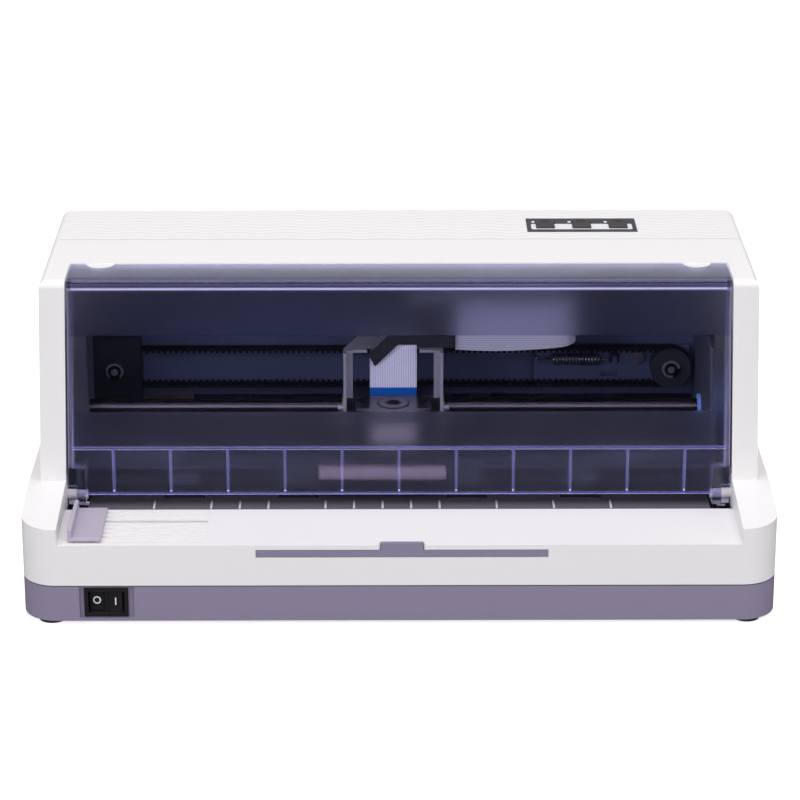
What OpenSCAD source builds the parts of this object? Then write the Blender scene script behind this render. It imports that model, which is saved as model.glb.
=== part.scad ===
// Flat-bed dot matrix printer with a front paper tray, a hinged smoked front cover,
// a travelling print head, friction feed rollers and rear tractors.
// Units are millimetres. The origin is the centre of the footprint on the table, +Z is up,
// +Y runs from the front face to the rear wall and +X to the right seen from the front.

/* [Casing] */
// Width over the arms of the lower body
body_w = 360; // [358:1:368]
// Depth from the front face to the rear wall
body_d = 270; // [269:1:276]
// Height of the flat top above the table
top_z = 156; // [154:1:160]
// Wall thickness of the plastic casing
wall = 2.6; // [2.2:0.1:3]
// Plan radius of the front corners
corner_r = 17; // [12:1:20]
// Plan radius of the rear corners
rear_corner_r = 18; // [14:1:20]
// Height of the seam between the grey pan and the white shell
seam_z = 20.2; // [20:0.1:21]
// Height of the arms at the front face
arm_front_z = 49; // [47:0.5:51]
// Height of the arms where they meet the housing
arm_rear_z = 54; // [53:0.5:56]
// Depth of the paper tray in front of the cover bay
tray_d = 45; // [44:0.5:46]
// Distance from the front face to the front of the housing
housing_set = 50; // [49.5:0.5:51]
// Depth of the flat top measured from the front of the housing
top_d = 118; // [116:1:120]
// Inset of the housing's top edges from the arms' outer faces
housing_top_inset = 8.7; // [8:0.1:9.5]
// Inset of the housing's foot from the arms' outer faces
housing_base_inset = 5.75; // [5:0.05:6.5]
// Radius of the housing's long edges
edge_r = 4; // [3:0.5:5]
// Width of each arm beside the tray and the cover bay
arm_w = 17.7; // [17.2:0.1:18.2]
// Height of the rear deck where the slope starts
rear_deck_z = 146; // [144:1:148]
// Height at which the rear slope ends
rear_low_z = 86; // [84:1:90]
// Depth of the rubber feet below the pan
foot_h = 2.2; // [2:0.1:3]
// Diameter of the rubber feet
foot_dia = 13; // [11:0.5:15]
// Distance of the feet from the front and rear faces
foot_set = 9; // [8:0.5:12]
// Screw shank diameter of the casing screws
case_screw_dia = 3; // [2.8:0.1:3.4]

/* [Paper path] */
// Height of the tray floor and of the lower guide
paper_z = 41; // [40.5:0.1:41.5]
// Sideways place of the paper path's centre line
path_x = -8.1; // [-9:0.1:-7]
// Pitch of the raised ribs along the lower guide
rib_pitch = 27.8; // [27:0.1:28.5]
// Distance of the inner feed rollers from the centre line
inner_roller_x = 41.2; // [40.5:0.1:42]
// Distance of the outer feed rollers from the centre line
outer_roller_x = 97.4; // [96.5:0.1:98]
// Length of each feed roller
roller_len = 18; // [16:0.5:19]
// Radius of the feed rollers
roller_r = 8; // [7.6:0.1:8.2]
// Radius of the feed roller shafts
shaft_r = 3; // [2.8:0.1:3.2]
// Radius of the pinch rollers
pinch_r = 5; // [4.6:0.1:5.2]
// Gap between a feed roller and its pinch roller
nip_gap = 0.3; // [0.2:0.05:0.4]
// Depth of the front feed roller axis from the front face
front_roller_d = 70; // [69:0.5:71]
// Depth of the platen bar from the front face
platen_d = 98; // [97:0.5:99]
// Width of the platen bar
platen_w = 8; // [7:0.5:8.5]
// Height of the upper guide above the table
upper_guide_z = 50; // [49.5:0.1:50.5]

/* [Mechanism frame] */
// Gap between the left arm and the inner face of the left side frame
left_frame_set = 6.4; // [6:0.1:6.8]
// Gap between the right arm and the inner face of the right side frame
right_frame_set = 9.7; // [9.3:0.1:10.1]
// Thickness of the steel frames
sheet = 1.6; // [1.4:0.1:1.8]
// Top of the steel base above the table
base_z = 21.7; // [21.4:0.1:22]
// Height of the side frames above the table
frame_top_z = 110; // [106:1:114]
// Depth of the cross plate from the front face
chassis_d = 158; // [157.6:0.1:159]

/* [Carriage drive] */
// Radius of the guide rod
rod_r = 4; // [3.8:0.1:4.1]
// Depth of the guide rod axis from the front face
rod_d = 120; // [119.5:0.1:120.5]
// Height of the guide rod axis
rod_z = 67; // [66.7:0.1:67.3]
// Tooth pitch of the timing belt
belt_pitch = 3; // [2.9:0.02:3.1]
// Teeth on each belt pulley
pulley_teeth = 20; // [19:1:21]
// Width of the timing belt
belt_w = 6; // [5:0.5:6.5]
// Depth of the belt's centre from the front face
belt_d = 149.6; // [149.2:0.1:150]
// Height of the pulley axes
pulley_z = 78; // [77.5:0.1:78.5]
// Distance from the left side frame to the drive pulley axis
drive_set = 10.7; // [10.3:0.1:11.3]
// Distance from the right side frame to the idler pulley axis
idler_set = 12.7; // [12:0.1:13.6]
// Furthest travel of the carriage to each side
carriage_travel = 95; // [80:1:96]

/* [Print head] */
// Sideways place of the carriage at rest
carriage_x = -2.7; // [-4:0.1:-1]
// Distance between the bracket's legs
bracket_w = 49.6; // [49:0.1:50.2]
// Height of the bracket's bridge above the table
bracket_z = 101; // [100:0.5:103]
// Thickness of the bracket's sheet
bracket_t = 1.4; // [1.2:0.1:1.6]
// Height of the head's silver top plate
head_top_z = 77; // [76.5:0.5:78]
// Diameter of the head's body
head_dia = 33; // [31:0.5:34]
// Width of the flat cable
cable_w = 23.4; // [20:0.2:24.4]
// Thickness of the flat cable
cable_t = 0.5; // [0.4:0.05:0.6]

/* [Controls] */
// Width of the control panel
panel_w = 54.9; // [53:0.1:56]
// Depth of the control panel
panel_d = 22.5; // [21:0.1:24]
// Width of a push button
button_w = 9.4; // [8.5:0.1:10]
// Depth of a push button
button_d = 13; // [11:0.1:14]
// Spacing of the push buttons
button_pitch = 18.25; // [17.6:0.05:18.6]
// Travel of a push button
button_travel = 0.8; // [0.5:0.05:0.9]
// Width of the power switch frame
switch_w = 21; // [20:0.2:22]
// Height of the power switch frame
switch_h = 14.6; // [14:0.1:15]
// Half the angle through which the rocker tips
rocker_tip = 10; // [8:0.5:11]

/* [Hidden] */
$fn = 48;
eps = 0.01;
// Running clearance round shafts and the loose fit of covers in their openings
run = 0.05;
gap = 0.4;
half_w = body_w / 2;
front = -body_d / 2;
rear = body_d / 2;
bay = half_w - arm_w;
housing_top_half = half_w - housing_top_inset;
floor_z = foot_h + wall;
housing_y = front + housing_set;
deck_y = housing_y + top_d;
lean = atan((housing_top_inset - housing_base_inset) / (top_z - arm_rear_z));
slope_run = rear - 8 - deck_y;
slope_angle = atan((rear_deck_z - rear_low_z) / slope_run);
rear_cover_half = bay - 14.3;
screw_x = half_w - 9.5;
screw_ys = [front + 34, rear - 35];
foot_x = half_w - 14;
cover_t = 2.2;
cover_half = bay - 0.8;
cover_y = housing_y + 2;
cover_bottom_z = paper_z + 5;
cover_pivot_y = front + 56;
cover_pivot_z = paper_z + 4;
cover_top_d = 26;
pin_r = 2.5;
ear_r = 5.5;
left_x = left_frame_set - bay;
right_x = bay - right_frame_set;
drive_x = -left_x - drive_set;
idler_x = right_x - idler_set;
roller_z = paper_z + 0.6 - roller_r;
pinch_z = paper_z + 0.6 + nip_gap + pinch_r;
front_roller_y = front + front_roller_d;
gear_module = 1;
feed_teeth = 20;
idler_teeth = 40;
transfer_teeth = 45;
pinion_teeth = 15;
rear_roller_y = front_roller_y + (feed_teeth + idler_teeth) * gear_module;
idler_gear_y = front_roller_y + (feed_teeth + idler_teeth) / 2 * gear_module;
transfer_y = rear_roller_y + (feed_teeth + transfer_teeth) / 2 * gear_module;
tractor_y = transfer_y + (feed_teeth + transfer_teeth) / 2 * gear_module;
pinion_reach = (pinion_teeth + transfer_teeth) / 2 * gear_module;
pinion_angle = 52;
pinion_y = transfer_y + pinion_reach * cos(pinion_angle);
pinion_z = roller_z + pinion_reach * sin(pinion_angle);
gear_x = right_x + sheet + 2;
gear_w = 4;
platen_y = front + platen_d;
platen_h = paper_z + 0.5 - base_z;
roller_xs = [for (s = [-1, 1]) for (d = [inner_roller_x, outer_roller_x]) path_x + s * d];
frame_front_y = front + 63;
cable_low_z = bracket_z + bracket_t + 0.2;
frame_rear_y = tractor_y + 24;
chassis_y = front + chassis_d;
chassis_low_z = 60;
rod_y = front + rod_d;
belt_y = front + belt_d;
pulley_r = belt_pitch * pulley_teeth / (2 * PI);
belt_t = 2.4;
belt_span = drive_x + idler_x;
lower_run_z = pulley_z - pulley_r;
head_y = platen_y;
leg_x = bracket_w / 2;
cable_y = head_y + 12;
head_bottom_z = paper_z + 1.6;
socket_r = 6.1;
motor_r = 18;
rail_y = front + 139;
rail_z = 56;
panel_x = 92;
panel_y = front + 140.2;
panel_z = top_z - 1.6;
switch_x = -139.5;
inlet_x = -130.2;
switch_z = 11.7;
cable_back_y = front + 129.5;
cable_anchor_x = 8;
extension_x = 1.1;
extension_w = 138;
extension_z = 36.7;
guide_x = 14.1 - bay;
guide_w = 13.8;
guide_front_y = front + 3;
guide_d = 39;
track_pitch = 5;
track_start = 2.4;
track_rib_h = 0.5;
track_rib_w = 2.4;
track_end_x = path_x - 84;
bay_back_y = housing_y + 28.3;
rear_slot_x = [-132, 118];
rear_slot_h = 9;
opening_z = 22.5;
board_z = seam_z - 2;
board_t = 1.6;
base_post_xs = [left_x + 14, 0, right_x - 14];
base_post_ys = [frame_front_y + 8, chassis_y - 8];
board_post_xs = [-52, 84];
board_post_ys = [rear - 88, rear - 12];
supply_post_xs = [22 - half_w, 76 - half_w];
supply_post_ys = [rear - 88, rear - 44];
clamp_x = 123.2;
clamp_z = pulley_z + 3;
clamp_r = 1.6;
bush_r = 6.5;
rail_r = 2.5;
pinch_shaft_r = 1.5;
ear_w = 8.5;
ear_open_w = 4.4;
finger_x = half_w - 36;
finger_y = cover_y + cover_top_d + 0.6;
finger_r = 7;

// A plan outline with round corners, from y0 at the front to y1 at the rear.
module rounded_plan(half, y0, y1, r0, r1) {
    translate([-half, y0 + r0]) square([2 * half, y1 - r1 - y0 - r0]);
    translate([-half + r0, y0]) square([2 * (half - r0), (y1 - y0) / 2]);
    translate([-half + r1, (y0 + y1) / 2]) square([2 * (half - r1), (y1 - y0) / 2]);
    for (s = [-1, 1]) {
        translate([s * (half - r0), y0 + r0]) circle(r0, $fn = 64);
        translate([s * (half - r1), y1 - r1]) circle(r1, $fn = 64);
    }
}

// A box given by its two opposite corners.
module block(low, high) {
    translate(low) cube(high - low);
}

// A round bar along X from x0 to x1.
module bar_x(r, x0, x1, y, z) {
    translate([x0, y, z]) rotate([0, 90, 0]) cylinder(r = r, h = x1 - x0);
}

// A round bar along Y from y0 to y1.
module bar_y(r, y0, y1, x, z) {
    translate([x, y0, z]) rotate([-90, 0, 0]) cylinder(r = r, h = y1 - y0);
}

// Runs a side profile, drawn with its own X as depth and Y as height, along X.
module along_x(x0, x1) {
    translate([x0, 0, 0]) rotate([90, 0, 90]) linear_extrude(x1 - x0) children();
}

// A gear with straight-flanked teeth, flat on Z = 0.
module spur(teeth, width, phase = 0) {
    root_r = teeth * gear_module / 2 - 1.15 * gear_module;
    tip_r = teeth * gear_module / 2 + 0.85 * gear_module;
    step = 360 / teeth;
    cylinder(r = root_r, h = width);
    for (i = [0 : teeth - 1])
        rotate(phase + i * step)
            linear_extrude(width)
                polygon([[root_r - 0.4, -1.05], [tip_r, -0.32], [tip_r, 0.32], [root_r - 0.4, 1.05]]);
}

// A gear on a cross shaft at depth y and height z, right of the right side frame.
module side_gear(teeth, y, z, bore_r, phase = 0) {
    translate([gear_x, y, z]) rotate([90, 0, 90]) difference() {
        spur(teeth, gear_w, phase);
        translate([0, 0, -1]) cylinder(r = bore_r, h = gear_w + 2);
    }
}

// The front view of the leaning housing, shrunk by inset on its sides and top.
module housing_front(inset) {
    r = max(edge_r - inset, 1);
    top_half = housing_top_half - inset;
    top = top_z - inset;
    drop = top - seam_z + 1;
    centre_x = top_half + r * tan(lean) - r / cos(lean);
    touch = [centre_x + r * cos(lean), top - r + r * sin(lean)];
    base_half = top_half + drop * tan(lean);
    polygon([[-base_half, top - drop], [base_half, top - drop], touch, [centre_x, top],
        [-centre_x, top], [-touch[0], touch[1]]]);
    for (s = [-1, 1]) translate([s * centre_x, top - r]) circle(r);
}

// One solid block of the housing: its side profile, plan and leaning front view in common.
module housing_block(inset, y1, corner) {
    intersection() {
        translate([0, rear, 0]) rotate([90, 0, 0]) linear_extrude(body_d) housing_front(inset);
        translate([0, 0, seam_z - 1]) linear_extrude(top_z)
            rounded_plan(half_w, housing_y + inset, y1 - inset, 1, corner - inset);
        along_x(-half_w, half_w) children();
    }
}

// Both blocks of the housing: the high front block and the sloping rear one.
module housing(inset) {
    housing_block(inset, deck_y, rear_corner_r) {
        r = edge_r;
        top = top_z - inset;
        union() {
            polygon([[housing_y + inset, 0], [housing_y + inset, top - r], [housing_y + inset + r, top],
                [deck_y, top], [deck_y, 0]]);
            translate([housing_y + inset + r, top - r]) circle(r);
        }
    }
    housing_block(inset, rear, rear_corner_r) {
        drop = inset / cos(slope_angle);
        polygon([[housing_y + inset, 0], [housing_y + inset, rear_deck_z - drop - 1],
            [deck_y, rear_deck_z - drop], [rear - 8, rear_low_z - drop], [rear, rear_low_z - 9 - inset],
            [rear, 0]]);
    }
}

// The wide lower part of the white shell, with its arms rising towards the housing.
module skirt(inset) {
    intersection() {
        translate([0, 0, seam_z - (inset > 0 ? 1 : 0)]) linear_extrude(arm_rear_z)
            rounded_plan(half_w - inset, front + inset, rear - inset, corner_r - inset, rear_corner_r - inset);
        along_x(-half_w, half_w)
            polygon([[front, 0], [front, arm_front_z - inset], [housing_y, arm_rear_z - inset],
                [rear, arm_rear_z - inset], [rear, 0]]);
    }
}

// A block from low to high that narrows upwards as the housing leans; half is half its
// width at the height of the tray floor.
module leaning_prism(half, low, high, y0, y1) {
    low_half = half - (low - paper_z) * tan(lean);
    high_half = half - (high - paper_z) * tan(lean);
    translate([0, y1, 0]) rotate([90, 0, 0]) linear_extrude(y1 - y0)
        polygon([[-low_half, low], [low_half, low], [high_half, high], [-high_half, high]]);
}

// Places its children on the rear slope: X as before, Y down the slope, Z out of it.
module on_slope() {
    translate([0, deck_y, rear_deck_z]) rotate([-slope_angle, 0, 0]) children();
}
slope_len = slope_run / cos(slope_angle);
rear_pivot_s = 7;
rear_knuckle_r = 3;

// The white shell with its openings cut, before the small raised features.
module cased_shell() {
    difference() {
        union() {
            difference() {
                union() {
                    skirt(0);
                    intersection() {
                        housing(0);
                        translate([-half_w, front, seam_z]) cube([body_w, body_d, top_z]);
                    }
                }
                skirt(wall);
                housing(wall);
            }
            // Arm walls, tray floor and the channel of the paper extension.
            for (s = [-1, 1]) intersection() {
                skirt(0);
                block([s > 0 ? bay - 1 : -bay - wall, front, paper_z - wall],
                    [s > 0 ? bay + wall : 1 - bay, housing_y + 8, arm_rear_z]);
            }
            block([-bay - 1, front + 1, paper_z - wall], [bay + 1, front + tray_d, paper_z]);
            for (s = [-1, 1]) translate([extension_x + s * (extension_w / 2 + 1.2), 0, 0])
                block([-0.8, front + 1, extension_z - 5], [0.8, front + tray_d, paper_z - 1]);
            for (s = [-1, 1]) translate([extension_x + s * (extension_w / 2 - 2), 0, 0])
                block([-4, front + 1, extension_z - 5], [4, front + tray_d, extension_z - 2.4]);
            // Screw bosses, panel seat, hinge cheeks of the rear cover and slot lips.
            for (s = [-1, 1]) for (y = screw_ys) {
                translate([s * screw_x, y, seam_z]) cylinder(r = 4.5, h = arm_front_z - seam_z + 0.5);
                translate([s * (screw_x + half_w) / 2, y, seam_z + 15])
                    cube([half_w - screw_x - 1, 1.6, 29], center = true);
            }
            block([panel_x - panel_w / 2 - 3, panel_y - panel_d / 2 - 3, top_z - 3.6],
                [panel_x + panel_w / 2 + 3, panel_y + panel_d / 2 + 3, top_z - 1]);
            for (s = [-1, 1]) for (t = [-1, 1])
                translate([panel_x + s * 24, panel_y + t * 13, top_z - 9]) cylinder(r = 2.2, h = 7);
            for (s = [-1, 1]) on_slope()
                translate([s * (rear_cover_half + 2.2), 0, 0])
                    block([-1.7, rear_pivot_s - 6, -9], [1.7, rear_pivot_s + 6, -1]);
        }
        // Cover bay: everything above the tray, and the mouth of the paper path behind it.
        leaning_prism(bay, paper_z, top_z + 1, front - 1, bay_back_y);
        block([-bay, front + tray_d, seam_z - 1], [bay, housing_y + 8, paper_z + 1]);
        // Slots of the sheet guide and the paper extension.
        block([guide_x - 4, guide_front_y + 25.3, paper_z - 4], [track_end_x, guide_front_y + 26.8, paper_z + 2]);
        block([extension_x - extension_w / 2 - gap / 2, front - 1, extension_z - 2],
            [extension_x + extension_w / 2 + gap / 2, front + 3.2, extension_z + 2]);
        block([extension_x - 10.6, front - 1, extension_z - 1.9], [extension_x + 10.6, front + 3.2, paper_z + 1]);
        // Control panel recess with button holes.
        block([panel_x - panel_w / 2 - 0.1, panel_y - panel_d / 2 - 0.1, panel_z],
            [panel_x + panel_w / 2 + 0.1, panel_y + panel_d / 2 + 0.1, top_z + 1]);
        for (i = [-1 : 1]) translate([panel_x + i * button_pitch, panel_y, 0])
            block([-button_w / 2 - 0.3, -button_d / 2 - 0.3, top_z - 5], [button_w / 2 + 0.3, button_d / 2 + 0.3, top_z]);
        // Rear cover opening, rear paper slot, inlet and interface openings.
        on_slope() block([-rear_cover_half - 0.5, rear_pivot_s - 3.6, -12], [rear_cover_half + 0.5, slope_len - 4, 4]);
        on_slope() for (s = [-1, 1])
            bar_x(1.5 + run, s > 0 ? rear_cover_half : -rear_cover_half - 3, s > 0 ? rear_cover_half + 3 : -rear_cover_half,
                rear_pivot_s, -rear_knuckle_r);
        block([rear_slot_x[0], rear - 8, paper_z - 1.5], [rear_slot_x[1], rear + 1, paper_z + rear_slot_h]);
        block([inlet_x - 14.2, rear - 8, opening_z], [inlet_x + 14.2, rear + 1, 38.4]);
        block([-30, rear - 8, opening_z], [30.2, rear + 1, 36]);
        block([39.8, rear - 8, opening_z], [52.2, rear + 1, 34]);
        // Bores of the cover hinge pins and screw cores.
        for (s = [-1, 1]) bar_x(pin_r + run, s > 0 ? bay - 1 : -bay - wall - 1, s > 0 ? bay + wall + 1 : -bay + 1,
            cover_pivot_y, cover_pivot_z);
        for (s = [-1, 1]) for (y = screw_ys)
            translate([s * screw_x, y, seam_z - 1]) cylinder(r = case_screw_dia / 2 - run, h = 15);
    }
}

module upper_case() {
    color("whitesmoke") union() {
        cased_shell();
        // Low ribs that the sheet guide runs over.
        for (i = [0 : 7]) translate([0, guide_front_y + track_start + i * track_pitch, paper_z])
            block([guide_x - guide_w / 2, 0, -1], [track_end_x, track_rib_w, track_rib_h]);
        // Round tongues of the top that fill the notches of the front cover.
        for (s = [-1, 1]) translate([s * finger_x, finger_y, top_z - wall])
            cylinder(r = finger_r - gap, h = wall - gap);
    }
}

module lower_case() {
    color([0.54, 0.5, 0.59]) difference() {
        union() {
            difference() {
                translate([0, 0, foot_h]) linear_extrude(seam_z - foot_h)
                    rounded_plan(half_w, front, rear, corner_r, rear_corner_r);
                translate([0, 0, floor_z]) linear_extrude(seam_z)
                    rounded_plan(half_w - wall, front + wall, rear - wall, corner_r - wall, rear_corner_r - wall);
            }
            for (s = [-1, 1]) for (y = screw_ys) translate([s * screw_x, y, foot_h + 1]) cylinder(r = 5, h = seam_z - foot_h - 1);
            // Standoffs of the steel base and of the boards.
            for (x = base_post_xs) for (y = base_post_ys)
                translate([x, y, foot_h + 1]) cylinder(r = 5, h = base_z - sheet - foot_h - 1);
            for (x = board_post_xs) for (y = board_post_ys)
                translate([x, y, foot_h + 1]) cylinder(r = 3, h = seam_z - 2 - foot_h - 1);
            for (x = supply_post_xs) for (y = supply_post_ys)
                translate([x, y, foot_h + 1]) cylinder(r = 3, h = seam_z - 2 - foot_h - 1);
        }
        // Recess and window of the power switch.
        block([switch_x - 12.7, front - 1, switch_z - 7.9], [switch_x + 13.3, front + 1.4, switch_z + 7.9]);
        block([switch_x - 9.2, front - 1, switch_z - 6.4], [switch_x + 9.2, front + wall + 1, switch_z + 6.4]);
        for (s = [-1, 1]) for (y = screw_ys) translate([s * screw_x, y, foot_h - 1]) {
            cylinder(r = case_screw_dia / 2 + 0.2, h = seam_z);
            cylinder(r = case_screw_dia + 0.4, h = 9);
        }
    }
}

module rubber_feet() {
    color("black") for (s = [-1, 1]) for (y = [front + foot_set, rear - foot_set])
        translate([s * foot_x, y, 0]) cylinder(d = foot_dia, h = foot_h);
}

module case_screws() {
    color("silver") for (s = [-1, 1]) for (y = screw_ys) translate([s * screw_x, y, foot_h + 8]) {
        translate([0, 0, -1.8]) cylinder(r = case_screw_dia, h = 1.8);
        cylinder(r = case_screw_dia / 2 - run, h = 20);
    }
}

module front_cover() {
    crest_z = top_z - 0.4;
    r = 4;
    top_half = cover_half - (crest_z - r - paper_z) * tan(lean);
    rib_half = cover_half - 28.7 * tan(lean);
    color([0.2, 0.22, 0.4, 0.6]) difference() {
        union() {
            // Front sheet, narrower at the top as the housing leans.
            leaning_prism(cover_half, cover_bottom_z, crest_z - r, cover_y, cover_y + cover_t);
            // Rounded edge and the short top that reaches back over the bay.
            along_x(-top_half, top_half) difference() {
                union() {
                    translate([cover_y, crest_z - r - 6]) square([30, 6]);
                    translate([cover_y + r, crest_z - 2 * r]) square([cover_top_d - r, 2 * r]);
                    translate([cover_y + r, crest_z - r]) circle(r);
                }
                translate([cover_y + cover_t, crest_z - r - 7]) square([40, r + 7 - cover_t]);
            }
            // Crest bead, stiffening rib, upright ribs and side flanges behind the sheet.
            bar_x(1.6, -top_half, top_half, cover_y + 0.9, crest_z - 3.4);
            block([-rib_half, cover_y + 1, paper_z + 27.7], [rib_half, cover_y + cover_t + 2, paper_z + 28.7]);
            for (i = [-5 : 5])
                block([i * rib_pitch - 0.5, cover_y + 1, cover_bottom_z], [i * rib_pitch + 0.5, cover_y + cover_t + 2, paper_z + 28.7]);
            difference() {
                leaning_prism(cover_half, cover_bottom_z + 8, crest_z - 1, cover_y + 1, cover_y + cover_t + 6);
                leaning_prism(cover_half - 2, cover_bottom_z, crest_z, cover_y, cover_y + cover_t + 7);
            }
            // Ears that ride on the hinge pins.
            for (s = [-1, 1]) {
                bar_x(ear_r, s > 0 ? cover_half - ear_w : -cover_half, s > 0 ? cover_half : -cover_half + ear_w,
                    cover_pivot_y, cover_pivot_z);
                block([s > 0 ? cover_half - ear_w : -cover_half, cover_y, cover_pivot_z],
                    [s > 0 ? cover_half : -cover_half + ear_w, cover_pivot_y + ear_r, cover_pivot_z + 14]);
            }
        }
        bar_x(pin_r + run, -bay, bay, cover_pivot_y, cover_pivot_z);
        // The outer part of each ear is open to the front, so that it snaps over its pin.
        for (s = [-1, 1])
            block([s > 0 ? cover_half - ear_open_w : -cover_half - 1, cover_pivot_y - 7, cover_pivot_z - 7],
                [s > 0 ? cover_half + 1 : ear_open_w - cover_half, cover_pivot_y, cover_pivot_z + 5]);
        // Round notches in the rear edge of the top, filled by the shell's tongues.
        for (s = [-1, 1]) translate([s * finger_x, finger_y, top_z - 6]) cylinder(r = finger_r, h = 10);
    }
}

module cover_hinge_pins() {
    color("white") for (s = [-1, 1])
        bar_x(pin_r, s > 0 ? cover_half - 9.5 : -bay - wall, s > 0 ? bay + wall : -cover_half + 9.5, cover_pivot_y, cover_pivot_z);
}

module rear_cover() {
    color("white") on_slope() {
        block([-rear_cover_half, rear_pivot_s, -2.4], [rear_cover_half, slope_len - 4.6, 0]);
        bar_x(rear_knuckle_r, -rear_cover_half, rear_cover_half, rear_pivot_s, -rear_knuckle_r);
        bar_x(1.5, -rear_cover_half - 2.6, rear_cover_half + 2.6, rear_pivot_s, -rear_knuckle_r);
        for (x = [-0.6, 0, 0.6])
            block([x * rear_cover_half - 0.8, rear_pivot_s + 6, -5], [x * rear_cover_half + 0.8, slope_len - 10, -2]);
    }
}

module control_panel() {
    color([0.12, 0.12, 0.15]) translate([panel_x, panel_y, 0]) difference() {
        block([-panel_w / 2, -panel_d / 2, panel_z], [panel_w / 2, panel_d / 2, top_z + 0.3]);
        for (i = [-1 : 1]) translate([i * button_pitch, 0, 0])
            block([-button_w / 2 - 0.25, -button_d / 2 - 0.25, panel_z - 1], [button_w / 2 + 0.25, button_d / 2 + 0.25, top_z + 1]);
    }
}

// A push button with a flange that keeps it under the panel, at place i in the row.
module push_button(i) {
    color([0.25, 0.24, 0.3]) translate([panel_x + i * button_pitch, panel_y, 0]) {
        block([-button_w / 2, -button_d / 2, top_z - 4.4], [button_w / 2, button_d / 2, top_z + 1.3]);
        block([-button_w / 2 - 1.2, -button_d / 2 - 1.2, top_z - 6.2], [button_w / 2 + 1.2, button_d / 2 + 1.2, top_z - 4.4]);
    }
}
module button_left() { push_button(-1); }
module button_middle() { push_button(0); }
module button_right() { push_button(1); }

module panel_board() {
    low_z = top_z - 10.6;
    color("green") translate([panel_x, panel_y, 0]) {
        block([-30, -16, low_z], [30, 16, low_z + board_t]);
        for (i = [-1 : 1]) translate([i * button_pitch, 0, low_z + board_t]) {
            block([-3, -3, 0], [3, 3, 1.6]);
            cylinder(r = 1.2, h = 2);
        }
    }
}

module sheet_guide() {
    color([0.72, 0.69, 0.75]) translate([guide_x, 0, 0]) {
        block([-guide_w / 2, guide_front_y, paper_z + 0.8], [guide_w / 2, guide_front_y + guide_d, paper_z + 2.4]);
        block([-guide_w / 2 - 2, guide_front_y, paper_z + 0.8], [-guide_w / 2, guide_front_y + guide_d, paper_z + 6.6]);
        // Stem and toe that hold the guide in its slot.
        block([-3, guide_front_y + 25.6, paper_z - 4.4], [4, guide_front_y + 26.5, paper_z + 1]);
        block([-3, guide_front_y + 23.5, paper_z - 4.4], [4, guide_front_y + 28.6, paper_z - 3]);
    }
}

module paper_extension() {
    color([0.5, 0.48, 0.55]) translate([extension_x, 0, 0]) {
        block([-extension_w / 2, front + 0.2, extension_z - 1.8], [extension_w / 2, front + 3, extension_z + 1.8]);
        block([-10.2, front + 0.2, extension_z - 1.6], [10.2, front + 2.4, paper_z + 1]);
        block([-extension_w / 2 + 0.4, front + 2, extension_z - 1], [extension_w / 2 - 0.4, front + 56, extension_z + 0.6]);
    }
}

module switch_body() {
    color([0.1, 0.1, 0.1]) translate([switch_x, 0, switch_z]) difference() {
        union() {
            block([-switch_w / 2, front + 0.3, -switch_h / 2], [switch_w / 2, front + 1.4, switch_h / 2]);
            block([-9, front + 1.4, -6], [9, front + 20, 6]);
        }
        block([-8.6, front - 1, -5.4], [8.6, front + 11, 5.4]);
        translate([0, front + 3, -5.8]) cylinder(r = 1 + run, h = 11.6);
    }
    color("silver") translate([switch_x, 0, switch_z])
        for (x = [-6, 0, 6]) block([x - 0.4, front + 19, -2.4], [x + 0.4, front + 26, 2.4]);
}

module switch_rocker() {
    reach = 8;
    color([0.08, 0.08, 0.08]) translate([switch_x, front + 3, switch_z - 5.2]) rotate(-rocker_tip)
        linear_extrude(10.4) union() {
            polygon([[-reach, -1], [0, 0], [reach, -1], [reach - 0.6, 2.4], [0, 4.6], [-reach + 0.6, 2.4]]);
            translate([0, 2]) circle(2.6);
        }
    // Trunnions on the pivot line, in the sides of the frame.
    color([0.08, 0.08, 0.08]) translate([switch_x, front + 3, switch_z]) rotate(-rocker_tip)
        translate([0, 0, -5.7]) cylinder(r = 1, h = 11.4);
}

module ac_inlet() {
    color([0.1, 0.1, 0.1]) translate([inlet_x, 0, 0]) difference() {
        union() {
            block([-13.8, rear - 16, 23], [13.8, rear - 0.6, 38]);
            block([-15.4, rear - 4.4, 22], [15.4, rear - wall, 39]);
        }
        block([-11.6, rear - 14.4, 24.8], [11.6, rear, 36.4]);
    }
    color("silver") for (x = [-7, 0, 7]) translate([inlet_x + x, 0, 0])
        block([-1, rear - 22, 29.4], [1, rear - 7, 31.6]);
}

module main_board() {
    color("darkgreen") block([-58, rear - 94, board_z], [90, rear - 6, board_z + board_t]);
    color([0.15, 0.15, 0.15]) for (x = [-40, -6, 30, 60])
        block([x, rear - 76, board_z + board_t], [x + 16, rear - 58, board_z + 3.8]);
}

// A connector shell on the board at x0 to x1, with its mouth through the rear wall.
module port(x0, x1, top) {
    difference() {
        union() {
            block([x0, rear - 18, seam_z - 0.4], [x1, rear - wall - 0.4, top]);
            block([x0, rear - wall - 1, 22.9], [x1, rear - 0.8, top]);
        }
        block([x0 + 1.4, rear - 12, 24.4], [x1 - 1.4, rear, top - 1.6]);
    }
    block([x0 + 3, rear - 14, (top + 22.8) / 2 - 1.4], [x1 - 3, rear - 3, (top + 22.8) / 2 + 1.4]);
}

module interface_ports() {
    color("silver") {
        port(-29.6, 29.8, 35.4);
        port(40.2, 51.8, 33.6);
    }
}

module power_supply() {
    color("tan") block([16 - half_w, rear - 94, board_z], [82 - half_w, rear - 24, board_z + board_t]);
    color([0.3, 0.3, 0.32]) block([30 - half_w, rear - 48, board_z + board_t], [68 - half_w, rear - 25, board_z + 11]);
    color("black") for (y = [rear - 84, rear - 60])
        translate([75 - half_w, y, board_z + board_t]) cylinder(r = 5, h = 9);
}

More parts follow.
